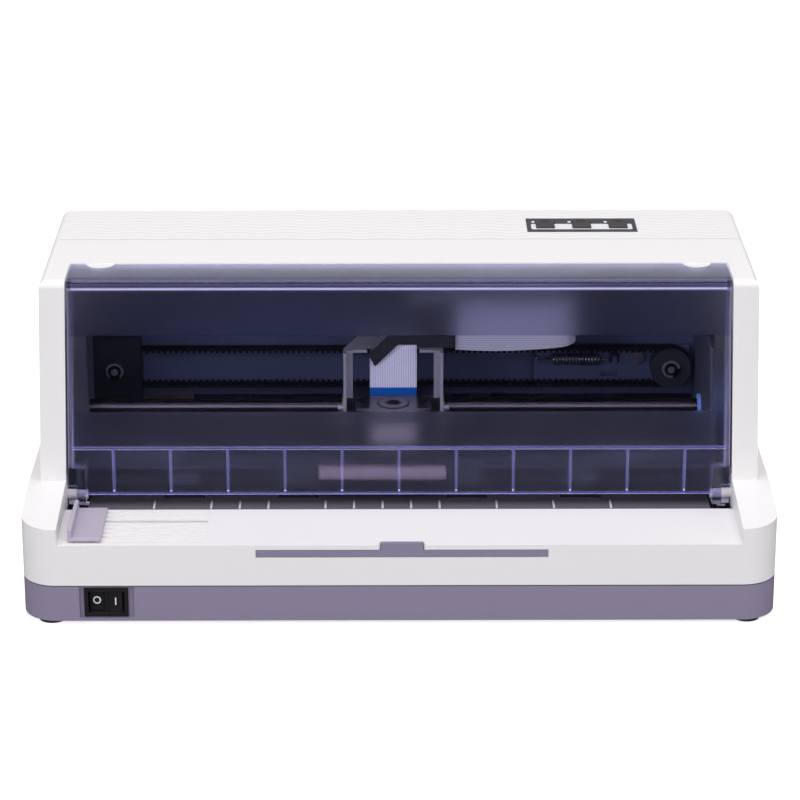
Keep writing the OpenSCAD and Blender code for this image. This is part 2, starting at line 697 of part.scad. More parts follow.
module base_frame() {
    color("silver") difference() {
        union() {
            block([left_x, frame_front_y, base_z - sheet], [right_x, chassis_y + 8, base_z]);
            for (y = [frame_front_y, chassis_y + 8 - sheet])
                block([left_x, y, base_z - sheet], [right_x, y + sheet, base_z + 4]);
        }
    }
}

// The plate shared by both side frames: a tall front part and a low arm to the tractors.
module side_plate(x, rod_hole_r) {
    arm_z = paper_z + 11;
    difference() {
        union() {
            along_x(x, x + sheet) polygon([[frame_front_y, base_z - sheet], [frame_front_y, paper_z + 26],
                [frame_front_y + 22, frame_top_z], [chassis_y + sheet, frame_top_z], [chassis_y + sheet, arm_z],
                [frame_rear_y, arm_z], [frame_rear_y, base_z + 1], [chassis_y + 9, base_z + 1],
                [chassis_y + 9, base_z - sheet]]);
            children();
        }
        for (y = [front_roller_y, rear_roller_y, tractor_y]) bar_x(shaft_r + run, x - 1, x + sheet + 1, y, roller_z);
        for (y = [front_roller_y, rear_roller_y]) bar_x(pinch_shaft_r + run, x - 1, x + sheet + 1, y, pinch_z);
        bar_x(rod_hole_r, x - 1, x + sheet + 1, rod_y, rod_z);
    }
}

module side_frame_left() {
    color([0.62, 0.62, 0.66]) side_plate(left_x - sheet, rod_r + run)
        block([left_x - sheet, frame_front_y, base_z - sheet], [left_x, frame_front_y + 1, base_z]);
}

module side_frame_right() {
    color([0.62, 0.62, 0.66]) difference() {
        union() {
            side_plate(right_x, socket_r + run)
                block([right_x, pinion_y - 12, base_z + 2], [right_x + sheet, pinion_y + 12, pinion_z + 12]);
            for (y = [idler_gear_y, transfer_y]) bar_x(2.5, right_x + sheet / 2, gear_x + gear_w + 0.6, y, roller_z);
        }
        bar_x(2.3, right_x - 1, right_x + sheet + 1, pinion_y, pinion_z);
    }
}

module rear_chassis_plate() {
    color([0.24, 0.26, 0.34]) difference() {
        union() {
            block([left_x, chassis_y, chassis_low_z], [right_x, chassis_y + sheet, frame_top_z]);
            block([left_x, chassis_y, frame_top_z - sheet], [right_x, chassis_y + 8, frame_top_z]);
            // Arm that carries the fixed end of the head cable, and the spring's hook tab.
            block([cable_anchor_x, cable_back_y + cable_t, bracket_z + 5],
                [cable_anchor_x + 14, chassis_y + 1, bracket_z + 7]);
            block([110.4, chassis_y - 7.4, pulley_z + 1.4], [112.4, chassis_y + 0.4, pulley_z + 4.6]);
        }
        bar_y(pulley_r, chassis_y - 1, chassis_y + 4, -drive_x, pulley_z);
    }
}

module chassis_screws() {
    color("silver") {
        for (x = base_post_xs) for (y = base_post_ys)
            translate([x, y, base_z]) cylinder(r = 3, h = 1.8);
        bar_y(3.4, chassis_y - 5.4, chassis_y - 3.2, clamp_x, clamp_z);
        bar_y(clamp_r, chassis_y - 3.2, chassis_y, clamp_x, clamp_z);
    }
}

module platen() {
    color([0.35, 0.35, 0.38]) block([left_x + 6, platen_y - platen_w / 2, base_z],
        [right_x - 6, platen_y + platen_w / 2, base_z + platen_h]);
}

module lower_paper_guide() {
    low = paper_z - 1.6;
    color([0.6, 0.58, 0.62]) difference() {
        union() {
            block([-cover_half + 10.1, front + tray_d + gap, low], [cover_half - 10.1, chassis_y + 12, paper_z]);
            for (n = [-4, -3, -2, -1, 0, 1, 2, 3, 4]) translate([path_x + n * rib_pitch, 0, 0])
                block([-0.5, front + tray_d + gap, paper_z - 0.5], [0.5, chassis_y + 12, paper_z + 0.5]);
            for (x = [-2.5 * rib_pitch, -rib_pitch / 2, rib_pitch / 2]) translate([path_x + x, 0, 0])
                block([-0.5, front + tray_d + gap, paper_z - 0.5], [0.5, front_roller_y + 14, paper_z + 0.5]);
            for (x = [left_x + 14, right_x - 14]) for (y = [front_roller_y + 16, chassis_y + 1])
                translate([x, y, base_z]) cylinder(r = 4, h = low - base_z + 0.5);
        }
        for (x = roller_xs) for (y = [front_roller_y, rear_roller_y])
            block([x - roller_len / 2 - 1, y - roller_r - 2, low - 1], [x + roller_len / 2 + 1, y + roller_r + 2, paper_z + 1]);
        block([left_x + 5.5, platen_y - platen_w / 2 - gap, low - 1], [right_x - 5.5, platen_y + platen_w / 2 + gap, paper_z + 1]);
    }
}

module upper_paper_guide() {
    z = upper_guide_z;
    mouth_y = front_roller_y - 7;
    color([0.6, 0.57, 0.56]) difference() {
        union() {
            along_x(left_x, right_x)
                polygon([[mouth_y, z + 5.6], [mouth_y + 3, z + 4.8], [mouth_y + 20, z], [chassis_y - 10, z],
                    [chassis_y - 10, z + 1], [mouth_y + 20.2, z + 1], [mouth_y + 3, z + 5.9], [mouth_y, z + 6.7]]);
            // Polished lip curled down over the middle of the mouth.
            along_x(path_x - 31, path_x + 31) difference() {
                translate([mouth_y + 0.5, z + 1.6]) circle(5.1);
                translate([mouth_y + 0.5, z + 1.6]) circle(4.1);
                translate([mouth_y + 0.5, z - 10]) square([20, 20]);
                translate([mouth_y - 10, z - 10]) square([20, 11.6]);
            }
        }
        block([carriage_x - carriage_travel - 9, platen_y - 7, z - 2], [carriage_x + carriage_travel + 9, platen_y + 7, z + 3]);
        for (x = roller_xs) for (y = [front_roller_y, rear_roller_y])
            block([x - roller_len / 2 - 1.5, y - pinch_r - 1, z - 3], [x + roller_len / 2 + 1.5, y + pinch_r + 3, z + 8]);
    }
}

module guide_rod() {
    color("lightgray") difference() {
        bar_x(rod_r, left_x - sheet - 1, right_x + 10.2, rod_y, rod_z);
        for (x = [left_x + 6, right_x - 8]) translate([x, rod_y, rod_z]) rotate([0, 90, 0]) difference() {
            cylinder(r = rod_r + 1, h = 1);
            translate([0, 0, -1]) cylinder(r = rod_r - 0.5, h = 3);
        }
    }
}

module gap_lever() {
    color([0.27, 0.4, 0.72]) difference() {
        union() {
            bar_x(socket_r, right_x - 1.6, right_x + 10, rod_y, rod_z);
            along_x(right_x + 5.8, right_x + 10)
                polygon([[rod_y + 4, rod_z + 4], [rod_y - 4, rod_z - 5], [rod_y - 21, rod_z - 1], [rod_y - 24, rod_z + 19],
                    [rod_y - 17, rod_z + 21], [rod_y - 14, rod_z + 8]]);
        }
        bar_x(rod_r, right_x - 3, right_x + 12, rod_y, rod_z);
    }
}

module cross_rails() {
    color("silver") {
        block([left_x, rail_y - rail_r, rail_z - 3], [right_x, rail_y + rail_r, rail_z]);
        bar_x(rail_r, left_x, right_x, tractor_y + 17, roller_z);
    }
}

module carriage_body() {
    inner = leg_x - bracket_t;
    color([0.15, 0.15, 0.17]) translate([carriage_x, 0, 0]) difference() {
        union() {
            block([-inner, rod_y - 7, rod_z - 9], [inner, rod_y + 8, rod_z + 8]);
            block([-inner, head_y - 15, rod_z - 12], [inner, rod_y, rod_z - 9]);
            block([-16, rod_y, rail_z + 0.3], [16, rail_y + 5, lower_run_z - 4]);
            // Jaws that close on the lower run of the belt.
            block([-8, rail_y + 3, lower_run_z - 6], [8, belt_y + belt_w / 2 + 1, lower_run_z - 1.5]);
            block([-8, rail_y + 3, lower_run_z - 6], [8, belt_y - belt_w / 2 - 0.4, lower_run_z + 4]);
            block([-8, rail_y + 3, lower_run_z + 1.8], [8, belt_y + belt_w / 2 + 1, lower_run_z + 4]);
        }
        bar_x(bush_r, -60, 60, rod_y, rod_z);
        block([-8.3, head_y - 6.3, 0], [8.3, head_y + 6.3, rod_z]);
    }
}

module carriage_bushes() {
    color([0.6, 0.5, 0.3]) for (s = [-1, 1]) translate([carriage_x + s * (leg_x - 5), 0, 0]) difference() {
        bar_x(bush_r, -6, 6, rod_y, rod_z);
        bar_x(rod_r + run, -7, 7, rod_y, rod_z);
    }
}

module carriage_bracket() {
    low = rod_z - 9;
    color([0.68, 0.67, 0.7]) translate([carriage_x, 0, 0]) difference() {
        union() {
            for (s = [-1, 1]) {
                x0 = s > 0 ? leg_x - bracket_t : -leg_x;
                block([x0, head_y + 1, low], [x0 + bracket_t, rod_y + 9, bracket_z + bracket_t]);
                // Stiffening flange turned in from the leg, and the stud on its outside.
                f0 = s > 0 ? leg_x - 4.6 : -leg_x;
                block([f0, head_y + 5.5, head_top_z + 0.5], [f0 + 4.6, head_y + 6.7, bracket_z + bracket_t]);
                bar_x(1.3, s > 0 ? leg_x - 0.5 : -leg_x - 3, s > 0 ? leg_x + 3 : -leg_x + 0.5, head_y + 4, rod_z + 6);
            }
            // Bridge, cut back where the cable stands up through it.
            notch = cable_w / 2 + 1.4;
            block([-leg_x, head_y + 6.7, bracket_z], [-notch, rod_y + 9, bracket_z + bracket_t]);
            block([-leg_x, cable_y + 1.2, bracket_z], [-4, rod_y + 9, bracket_z + bracket_t]);
            block([-leg_x, cable_y + 1.2, bracket_z], [leg_x, cable_y + 4.5, bracket_z + bracket_t]);
            block([notch, head_y + 6.7, bracket_z], [leg_x, cable_y + 4.5, bracket_z + bracket_t]);
            block([17, head_y + 13.4, bracket_z], [19.4, head_y + 14.5, bracket_z + 5.5]);
        }
        bar_x(bush_r, -60, 60, rod_y, rod_z);
        // Bevelled rear corner of the left leg and of the bridge over it.
        translate([-leg_x, head_y + 7.5, bracket_z - 9]) linear_extrude(12)
            polygon([[-1, -1], [8, 24], [-1, 24]]);
    }
}

module print_head() {
    base = rod_z - 9;
    color([0.1, 0.1, 0.11]) translate([carriage_x, head_y, 0]) union() {
        intersection() {
            translate([0, 0, base]) cylinder(d = head_dia + 5, h = head_top_z - 1 - base);
            block([-30, -13, base], [30, 11.6, head_top_z]);
        }
        block([-8, -6, head_bottom_z + 8], [8, 6, base + 1]);
        block([-2.5, -4, head_bottom_z], [2.5, 4, head_bottom_z + 9]);
    }
}

module head_plate() {
    top = head_top_z - 1;
    color([0.78, 0.76, 0.75]) translate([carriage_x, head_y - 1, top]) difference() {
        union() {
            linear_extrude(1) polygon([[-9, 12], [9, 12], [18, 7], [14, 0], [18, -7], [12, -13], [-12, -13], [-18, -7],
                [-14, 0], [-18, 7]]);
            cylinder(r = 7.2, h = 1.5);
        }
        translate([0, 0, -1]) cylinder(r = 3, h = 4);
    }
}

// The cable stands up behind the head, folds at 45 degrees and leaves on edge towards +X.
module head_cable() {
    top = cable_low_z + cable_w;
    color("white") {
        translate([carriage_x, 0, 0]) block([-cable_w / 2, cable_y, head_top_z - 4], [cable_w / 2, cable_y + cable_t, bracket_z - 1]);
        translate([carriage_x, cable_y + cable_t, 0]) rotate([90, 0, 0]) linear_extrude(cable_t)
            polygon([[-cable_w / 2, bracket_z - 1.1], [cable_w / 2, bracket_z - 1.1], [cable_w / 2, cable_low_z + 0.2],
                [cable_w / 2, top], [-cable_w / 2, cable_low_z]]);
        block([carriage_x + cable_w / 2, cable_y, top - cable_w], [carriage_x + 31, cable_y + cable_t, top]);
    }
}

module cable_clip() {
    strap_w = 5.4;
    color([0.06, 0.06, 0.07]) translate([carriage_x, cable_y, 0]) rotate([90, 0, 0]) linear_extrude(2) union() {
        polygon([[-11.5 - 1.4, bracket_z - 6.6], [-9, bracket_z - 9], [14, bracket_z + 14], [14, bracket_z + 20.6]]);
        polygon([[1.5, bracket_z + bracket_t], [31, bracket_z + bracket_t], [31, bracket_z + 26], [14, bracket_z + 26], [1.5, bracket_z + 8]]);
    }
}

// The loop lies on edge: a moving strand, a half turn and the strand fixed to the chassis arm.
module cable_loop() {
    turn_r = (cable_back_y - cable_y) / 2;
    turn_x = 79;
    color("white") {
        translate([0, 0, cable_low_z]) linear_extrude(cable_w) {
            translate([carriage_x + 31, cable_y]) square([turn_x - carriage_x - 31, cable_t]);
            translate([cable_anchor_x, cable_back_y]) square([turn_x - cable_anchor_x, cable_t]);
            translate([turn_x, cable_y + turn_r + cable_t / 2]) difference() {
                circle(turn_r + cable_t / 2);
                circle(turn_r - cable_t / 2);
                translate([-40, -40]) square([40, 80]);
            }
        }
    }
}

module motor_bracket() {
    x1 = -drive_x + 13.4;
    color([0.07, 0.07, 0.08]) difference() {
        union() {
            block([left_x, belt_y - 7, pulley_z - 17], [x1, chassis_y, pulley_z + 17]);
            bar_y(4, belt_y - 7, chassis_y, -drive_x + 7.8, pulley_z - 12);
        }
        // Chamber of the pulley, open towards the belt, and the shaft's window.
        block([left_x - 1, belt_y - 4.6, pulley_z - 12.4], [x1 + 2, belt_y + 5.4, pulley_z + 12.4]);
        bar_y(4.8, belt_y - 8, chassis_y + 1, -drive_x, pulley_z);
    }
}

module carriage_motor() {
    color([0.3, 0.3, 0.32]) {
        bar_y(motor_r, chassis_y + sheet, chassis_y + sheet + 36, -drive_x, pulley_z);
        bar_y(pulley_r - 0.3, chassis_y, chassis_y + sheet + 1, -drive_x, pulley_z);
    }
}

// A belt pulley round a Y axis with a flange on each side of the belt.
module belt_pulley(x, bore_r) {
    side = belt_w / 2 + 0.4;
    difference() {
        union() {
            bar_y(pulley_r - 1.7, belt_y - side, belt_y + side, x, pulley_z);
            for (y = [belt_y - side - 1, belt_y + side]) bar_y(pulley_r + 0.9, y, y + 1, x, pulley_z);
        }
        if (bore_r > 0) bar_y(bore_r, belt_y - 8, belt_y + 8, x, pulley_z);
    }
}

module drive_pulley() {
    color("silver") {
        belt_pulley(-drive_x, 0);
        bar_y(2.5, belt_y - 9, chassis_y - run, -drive_x, pulley_z);
        bar_y(4.4, belt_y - 8.2, belt_y - 7.2, -drive_x, pulley_z);
    }
}

module idler_bracket() {
    y0 = chassis_y - 3.2;
    color([0.2, 0.21, 0.27]) difference() {
        union() {
            block([70, y0, pulley_z - 10.6], [150, y0 + sheet, pulley_z + 9.4]);
            block([70, y0 - 4.2, pulley_z + 1.4], [71.6, y0 + 1, pulley_z + 4.6]);
            block([90, y0, pulley_z + 7.8], [150, chassis_y, pulley_z + 9.4]);
        }
        block([109, y0 - 1, pulley_z], [114, y0 + 3, pulley_z + 6]);
        block([104.5, y0 - 1, pulley_z - 7.6], [113.5, y0 + 3, pulley_z - 5]);
        bar_y(clamp_r + run, y0 - 1, y0 + 3, clamp_x, clamp_z);
    }
}

module idler_shaft() {
    color("silver") {
        bar_y(2.5, belt_y - 6.6, chassis_y - 3.2, idler_x, pulley_z);
        bar_y(4.7, belt_y - 5.8, belt_y - 5, idler_x, pulley_z);
    }
}

module idler_pulley() {
    color([0.08, 0.08, 0.09]) belt_pulley(idler_x, 2.5 + run);
}

module tension_spring() {
    y = chassis_y - 6.6;
    z = pulley_z + 3;
    color("silver") difference() {
        union() {
            bar_x(3.2, 79, 104, y, z);
            bar_x(0.5, 71.6, 110.4, y, z);
        }
        bar_x(2, 80, 103, y, z);
    }
}

module timing_belt() {
    outer = pulley_r + 1.05;
    inner = pulley_r - 0.25;
    teeth = floor(belt_span / belt_pitch);
    color([0.05, 0.05, 0.06]) translate([0, belt_y + belt_w / 2, pulley_z]) rotate([90, 0, 0]) linear_extrude(belt_w) {
        difference() {
            union() {
                translate([-drive_x, 0]) circle(outer, $fn = 72);
                translate([idler_x, 0]) circle(outer, $fn = 72);
                translate([-drive_x, -outer]) square([belt_span, 2 * outer]);
            }
            translate([-drive_x, 0]) circle(inner, $fn = 72);
            translate([idler_x, 0]) circle(inner, $fn = 72);
            translate([-drive_x, -inner]) square([belt_span, 2 * inner]);
        }
        for (s = [-1, 1]) for (i = [0 : teeth - 1])
            translate([-drive_x + (i + 0.5) * belt_pitch - 0.75, s > 0 ? inner - 1.1 : -inner - 0.2]) square([1.5, 1.3]);
    }
}

// A steel cross shaft with its gear; the driven rollers are pressed on it.
module feed_shaft(y, phase) {
    bar_x(shaft_r, left_x - sheet - 2, gear_x + gear_w + 1, y, roller_z);
    side_gear(feed_teeth, y, roller_z, shaft_r - 0.5, phase);
}
module front_feed_shaft() { color("silver") feed_shaft(front_roller_y, 0); }
module rear_feed_shaft() { color("silver") feed_shaft(rear_roller_y, 0); }

// Four rubber rollers along a shaft.
module roller_set(y, z, r, bore_r, length) {
    for (x = roller_xs) difference() {
        bar_x(r, x - length / 2, x + length / 2, y, z);
        if (bore_r > 0) bar_x(bore_r, x - length, x + length, y, z);
    }
}
module front_rollers() { color([0.07, 0.07, 0.07]) roller_set(front_roller_y, roller_z, roller_r, shaft_r, roller_len); }
module rear_rollers() { color([0.07, 0.07, 0.07]) roller_set(rear_roller_y, roller_z, roller_r, shaft_r, roller_len); }

module pinch_rollers(y) {
    roller_set(y, pinch_z, pinch_r, 0, roller_len - 2);
    bar_x(1.5, left_x - sheet, right_x + sheet, y, pinch_z);
}
module front_pinch_rollers() { color([0.2, 0.2, 0.2]) pinch_rollers(front_roller_y); }
module rear_pinch_rollers() { color([0.2, 0.2, 0.2]) pinch_rollers(rear_roller_y); }

module idler_gear() { color("ivory") side_gear(idler_teeth, idler_gear_y, roller_z, 2.5 + run, 180 / idler_teeth); }
module transfer_gear() { color("ivory") side_gear(transfer_teeth, transfer_y, roller_z, 2.5 + run, 0); }

module motor_pinion() {
    color("gold") {
        side_gear(pinion_teeth, pinion_y, pinion_z, 1.9, 16);
        bar_x(2, right_x - 0.3, gear_x + gear_w, pinion_y, pinion_z);
    }
}

module feed_motor() {
    color([0.3, 0.3, 0.32]) bar_x(motor_r, right_x - 38, right_x - 0.4 - eps, pinion_y, pinion_z);
    color("silver") translate([0, pinion_y, pinion_z]) difference() {
        block([right_x - 0.4, -12, -18], [right_x, 12, 10]);
        bar_x(2.3, right_x - 2, right_x + 2, 0, 0);
    }
}

module tractor_shaft() { color("silver") feed_shaft(tractor_y, 180 / feed_teeth); }

// One tractor: a body on the shaft and rail, with a lid over its row of pins.
module tractor(x) {
    color([0.2, 0.2, 0.22]) translate([x, 0, 0]) difference() {
        union() {
            block([-7, tractor_y - 22, roller_z - 7], [7, tractor_y + 24, paper_z - 0.6]);
            block([-7, tractor_y - 22, paper_z + 1.4], [7, tractor_y + 24, paper_z + 3.6]);
            block([5, tractor_y - 22, paper_z - 1], [7, tractor_y + 24, paper_z + 2]);
            for (i = [-3 : 3]) translate([0, tractor_y + i * 6.35, paper_z - 1]) cylinder(r = 1.6, h = 2.2);
        }
        bar_x(shaft_r + run, -8, 8, tractor_y, roller_z);
        bar_x(2.5 + run, -8, 8, tractor_y + 17, roller_z);
    }
}
module tractor_left() { tractor(-86); }
module tractor_right() { mirror([1, 0, 0]) tractor(-80); }

lower_case();
upper_case();
rubber_feet();
case_screws();
front_cover();
cover_hinge_pins();
rear_cover();
control_panel();
button_left();
button_middle();
button_right();
panel_board();
sheet_guide();
paper_extension();
switch_body();
switch_rocker();
ac_inlet();
main_board();
interface_ports();
power_supply();
base_frame();
side_frame_left();
side_frame_right();
rear_chassis_plate();
chassis_screws();
platen();
lower_paper_guide();
upper_paper_guide();
guide_rod();
gap_lever();
cross_rails();
carriage_body();
carriage_bushes();
carriage_bracket();
print_head();
head_plate();
head_cable();
cable_clip();
cable_loop();
motor_bracket();
carriage_motor();
drive_pulley();
idler_bracket();
idler_shaft();
idler_pulley();
tension_spring();
timing_belt();
front_feed_shaft();
front_rollers();
rear_feed_shaft();
rear_rollers();
front_pinch_rollers();
rear_pinch_rollers();
idler_gear();
transfer_gear();
motor_pinion();
feed_motor();
tractor_shaft();
tractor_left();
tractor_right();
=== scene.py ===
import math

import bmesh
import bpy
import numpy as np
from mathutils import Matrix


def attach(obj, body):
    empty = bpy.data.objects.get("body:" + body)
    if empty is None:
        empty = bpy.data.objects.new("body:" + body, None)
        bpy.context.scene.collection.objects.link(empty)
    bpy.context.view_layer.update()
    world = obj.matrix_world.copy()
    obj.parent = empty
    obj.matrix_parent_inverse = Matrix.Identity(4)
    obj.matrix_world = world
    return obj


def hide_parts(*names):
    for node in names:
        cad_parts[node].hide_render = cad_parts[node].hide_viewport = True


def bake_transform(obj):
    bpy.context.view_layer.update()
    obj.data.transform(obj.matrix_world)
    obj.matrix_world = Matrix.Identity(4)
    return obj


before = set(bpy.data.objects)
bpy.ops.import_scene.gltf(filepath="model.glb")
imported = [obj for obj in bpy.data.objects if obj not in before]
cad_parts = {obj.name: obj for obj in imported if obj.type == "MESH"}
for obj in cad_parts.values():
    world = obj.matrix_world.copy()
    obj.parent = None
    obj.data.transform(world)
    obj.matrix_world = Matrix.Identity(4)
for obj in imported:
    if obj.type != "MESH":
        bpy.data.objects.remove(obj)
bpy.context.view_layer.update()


# --- Camera, floor and lamps ---------------------------------------------------------------
# A long lens looks down on the front of the printer from a little above eye level.
# A white floor, one broad overhead softbox and two weaker front panels light it evenly.
BODY_DEPTH = 0.270
FRONT_Y = -BODY_DEPTH / 2

camera_data = bpy.data.cameras.new("studio_camera")
camera_data.lens = 135.0
camera_data.sensor_width = 36.0
camera_data.clip_start = 0.05
camera_data.clip_end = 60.0
camera = bpy.data.objects.new("studio_camera", camera_data)
camera.location = (-0.0064, FRONT_Y - 1.306, 0.593)
camera.rotation_euler = (math.radians(90 - 20.14), 0.0, math.radians(-0.287))
bpy.context.scene.collection.objects.link(camera)
bpy.context.scene.camera = camera


def studio_panel(name, place, aim, width, height, power):
    """A rectangular lamp at place, turned so that its face looks at the point aim."""
    lamp_data = bpy.data.lights.new(name, "AREA")
    lamp_data.shape = "RECTANGLE"
    lamp_data.size = width
    lamp_data.size_y = height
    lamp_data.energy = power
    lamp = bpy.data.objects.new(name, lamp_data)
    lamp.location = place
    direction = np.array(aim) - np.array(place)
    yaw = math.atan2(direction[1], direction[0]) - math.pi / 2
    pitch = math.atan2(direction[2], math.hypot(direction[0], direction[1])) + math.pi / 2
    lamp.rotation_euler = (pitch, 0.0, yaw)
    bpy.context.scene.collection.objects.link(lamp)


def joined(tree, operation, *values):
    """A math node that combines up to three sockets or numbers; the result socket."""
    node = tree.nodes.new("ShaderNodeMath")
    node.operation = operation
    for index, value in enumerate(values):
        if isinstance(value, (int, float)):
            node.inputs[index].default_value = value
        else:
            tree.links.new(value, node.inputs[index])
    return node.outputs[0]


def blended(tree, factor, *colors):
    """The first of two colours where the factor is 0 and the second where it is 1. Each
    colour is a socket or three numbers."""
    node = tree.nodes.new("ShaderNodeMix")
    node.data_type = "RGBA"
    tree.links.new(factor, node.inputs[0])
    for index, color in enumerate(colors, 6):
        if isinstance(color, tuple):
            node.inputs[index].default_value = (*color, 1.0)
        else:
            tree.links.new(color, node.inputs[index])
    return node.outputs[2]


def principled(name):
    """A new node material, with its tree and its Principled shader."""
    material = bpy.data.materials.new(name)
    material.use_nodes = True
    return material, material.node_tree, material.node_tree.nodes["Principled BSDF"]


def new_object(name, mesh):
    """An object of this mesh at the origin, in the scene."""
    piece = bpy.data.objects.new(name, mesh)
    bpy.context.scene.collection.objects.link(piece)
    return piece


studio_panel("overhead_softbox", (0.0, -0.35, 1.9), (0.0, 0.0, 0.05), 1.8, 1.3, 23.5)
studio_panel("front_softbox", (-1.35, -1.75, 0.9), (0.0, 0.0, 0.08), 1.3, 0.9, 14.5)
studio_panel("side_panel", (1.5, -1.5, 0.8), (0.0, 0.0, 0.08), 1.0, 0.9, 10.0)

world = bpy.data.worlds.new("studio_world")
world.use_nodes = True
world_nodes = world.node_tree.nodes
world_nodes["Background"].inputs["Color"].default_value = (1.0, 0.99, 1.0, 1.0)
world_nodes["Background"].inputs["Strength"].default_value = 0.42
bpy.context.scene.world = world
bpy.context.scene.view_settings.view_transform = "Standard"

floor_mesh = bpy.data.meshes.new("studio_floor")
FLOOR_HALF = 9.0
floor_mesh.from_pydata(
    [(-FLOOR_HALF, -FLOOR_HALF, 0), (FLOOR_HALF, -FLOOR_HALF, 0),
     (FLOOR_HALF, FLOOR_HALF, 0), (-FLOOR_HALF, FLOOR_HALF, 0)],
    [], [(0, 1, 2, 3)])
studio_floor = new_object("studio_floor", floor_mesh)
floor_paint, floor_tree, floor_bsdf = principled("floor_paper")
floor_bsdf.inputs["Roughness"].default_value = 0.9
floor_bsdf.inputs["Specular IOR Level"].default_value = 0.1
FLOOR_GLOW = 0.72
# The paper is pale to the camera, where it also glows a little so that it stays white, and
# dark in reflections and behind clear plastic, as a dim studio would be.
floor_path = floor_tree.nodes.new("ShaderNodeLightPath").outputs
floor_tone = blended(floor_tree, floor_path["Is Camera Ray"], (0.50, 0.50, 0.52),
                     (0.93, 0.93, 0.93))
floor_indirect = joined(floor_tree, "MAXIMUM", floor_path["Is Glossy Ray"],
                        floor_path["Is Transmission Ray"])
floor_tree.links.new(blended(floor_tree, floor_indirect, floor_tone, (0.03, 0.03, 0.035)),
                     floor_bsdf.inputs["Base Color"])
floor_glow = floor_tree.nodes.new("ShaderNodeEmission")
floor_tree.links.new(joined(floor_tree, "MULTIPLY", floor_path["Is Camera Ray"], FLOOR_GLOW),
                     floor_glow.inputs["Strength"])
floor_sum = floor_tree.nodes.new("ShaderNodeAddShader")
floor_tree.links.new(floor_bsdf.outputs[0], floor_sum.inputs[0])
floor_tree.links.new(floor_glow.outputs[0], floor_sum.inputs[1])
floor_tree.links.new(floor_sum.outputs[0], floor_tree.nodes["Material Output"].inputs["Surface"])
floor_mesh.materials.append(floor_paint)


# --- White upper shell ---------------------------------------------------------------------
# The large white ABS moulding with the tray, the arms and the flat top, moulded in one piece
# with a fine spark-eroded skin; a wave relief runs across the rear half of its top.
WHITE_ABS = (0.845, 0.825, 0.835)
RELIEF_FRONT_Y = FRONT_Y + 0.117
RELIEF_WAVE_X = 0.0250
RELIEF_WAVE_Y = 0.0050


def position(tree):
    """The object coordinates as a vector socket, and their three parts."""
    place = tree.nodes.new("ShaderNodeTexCoord").outputs["Object"]
    split = tree.nodes.new("ShaderNodeSeparateXYZ")
    tree.links.new(place, split.inputs[0])
    return place, split.outputs


def noise(tree, place, scale, detail=2.0):
    """Noise over the position socket place; its value from 0 to 1."""
    node = tree.nodes.new("ShaderNodeTexNoise")
    node.inputs["Scale"].default_value = scale
    node.inputs["Detail"].default_value = detail
    tree.links.new(place, node.inputs["Vector"])
    return node.outputs["Fac"]


def scaled(tree, color, factor):
    """A colour, given as a socket or three numbers, times the factor socket."""
    node = tree.nodes.new("ShaderNodeVectorMath")
    node.operation = "SCALE"
    if isinstance(color, tuple):
        node.inputs[0].default_value = color
    else:
        tree.links.new(color, node.inputs[0])
    tree.links.new(factor, node.inputs["Scale"])
    return node.outputs[0]


def bumped(tree, height, distance):
    """A bump of this height and depth on the Principled shader; the bump node."""
    node = tree.nodes.new("ShaderNodeBump")
    node.inputs["Distance"].default_value = distance
    tree.links.new(height, node.inputs["Height"])
    tree.links.new(node.outputs["Normal"], tree.nodes["Principled BSDF"].inputs["Normal"])
    return node


def moulded_skin_group():
    """Node group: fine grain and slow mottling of a moulded plastic or painted face.
    Colour = base x (1 + mottle x slow noise); roughness and height add a fine noise."""
    group = bpy.data.node_groups.new("moulded_skin", "ShaderNodeTree")
    for name, kind, value in (("Color", "NodeSocketColor", (0.8, 0.8, 0.8, 1.0)),
                              ("Mottle", "NodeSocketFloat", 0.03),
                              ("Roughness", "NodeSocketFloat", 0.45),
                              ("Grain Size", "NodeSocketFloat", 1500.0)):
        socket = group.interface.new_socket(name, in_out="INPUT", socket_type=kind)
        socket.default_value = value
    for name, kind in (("Color", "NodeSocketColor"), ("Roughness", "NodeSocketFloat"),
                       ("Height", "NodeSocketFloat")):
        group.interface.new_socket(name, in_out="OUTPUT", socket_type=kind)
    given = group.nodes.new("NodeGroupInput").outputs
    out = group.nodes.new("NodeGroupOutput").inputs
    place = group.nodes.new("ShaderNodeTexCoord").outputs["Object"]
    slow = noise(group, place, 14.0, detail=4.0)
    fine = noise(group, place, 1500.0)
    group.links.new(given["Grain Size"], fine.node.inputs["Scale"])
    spread = joined(group, "MULTIPLY_ADD", joined(group, "SUBTRACT", slow, 0.5),
                    given["Mottle"], 1.0)
    group.links.new(scaled(group, given["Color"], spread), out["Color"])
    group.links.new(joined(group, "MULTIPLY_ADD", fine, 0.12, given["Roughness"]),
                    out["Roughness"])
    group.links.new(fine, out["Height"])
    return group


moulded_skin = moulded_skin_group()


def moulded_material(name, color, roughness=0.42, mottle=0.03, grain=1500.0, depth=0.00001,
                     metallic=0.0, specular=0.5):
    """A material from the moulded skin group: colour, roughness and a bump of the given depth."""
    material, tree, bsdf = principled(name)
    bsdf.inputs["Metallic"].default_value = metallic
    bsdf.inputs["Specular IOR Level"].default_value = specular
    skin = tree.nodes.new("ShaderNodeGroup")
    skin.node_tree = moulded_skin
    for socket, value in (("Color", (*color, 1.0)), ("Mottle", mottle),
                          ("Roughness", roughness), ("Grain Size", grain)):
        skin.inputs[socket].default_value = value
    tree.links.new(skin.outputs["Color"], bsdf.inputs["Base Color"])
    tree.links.new(skin.outputs["Roughness"], bsdf.inputs["Roughness"])
    bumped(tree, skin.outputs["Height"], depth).name = "grain_bump"
    return material


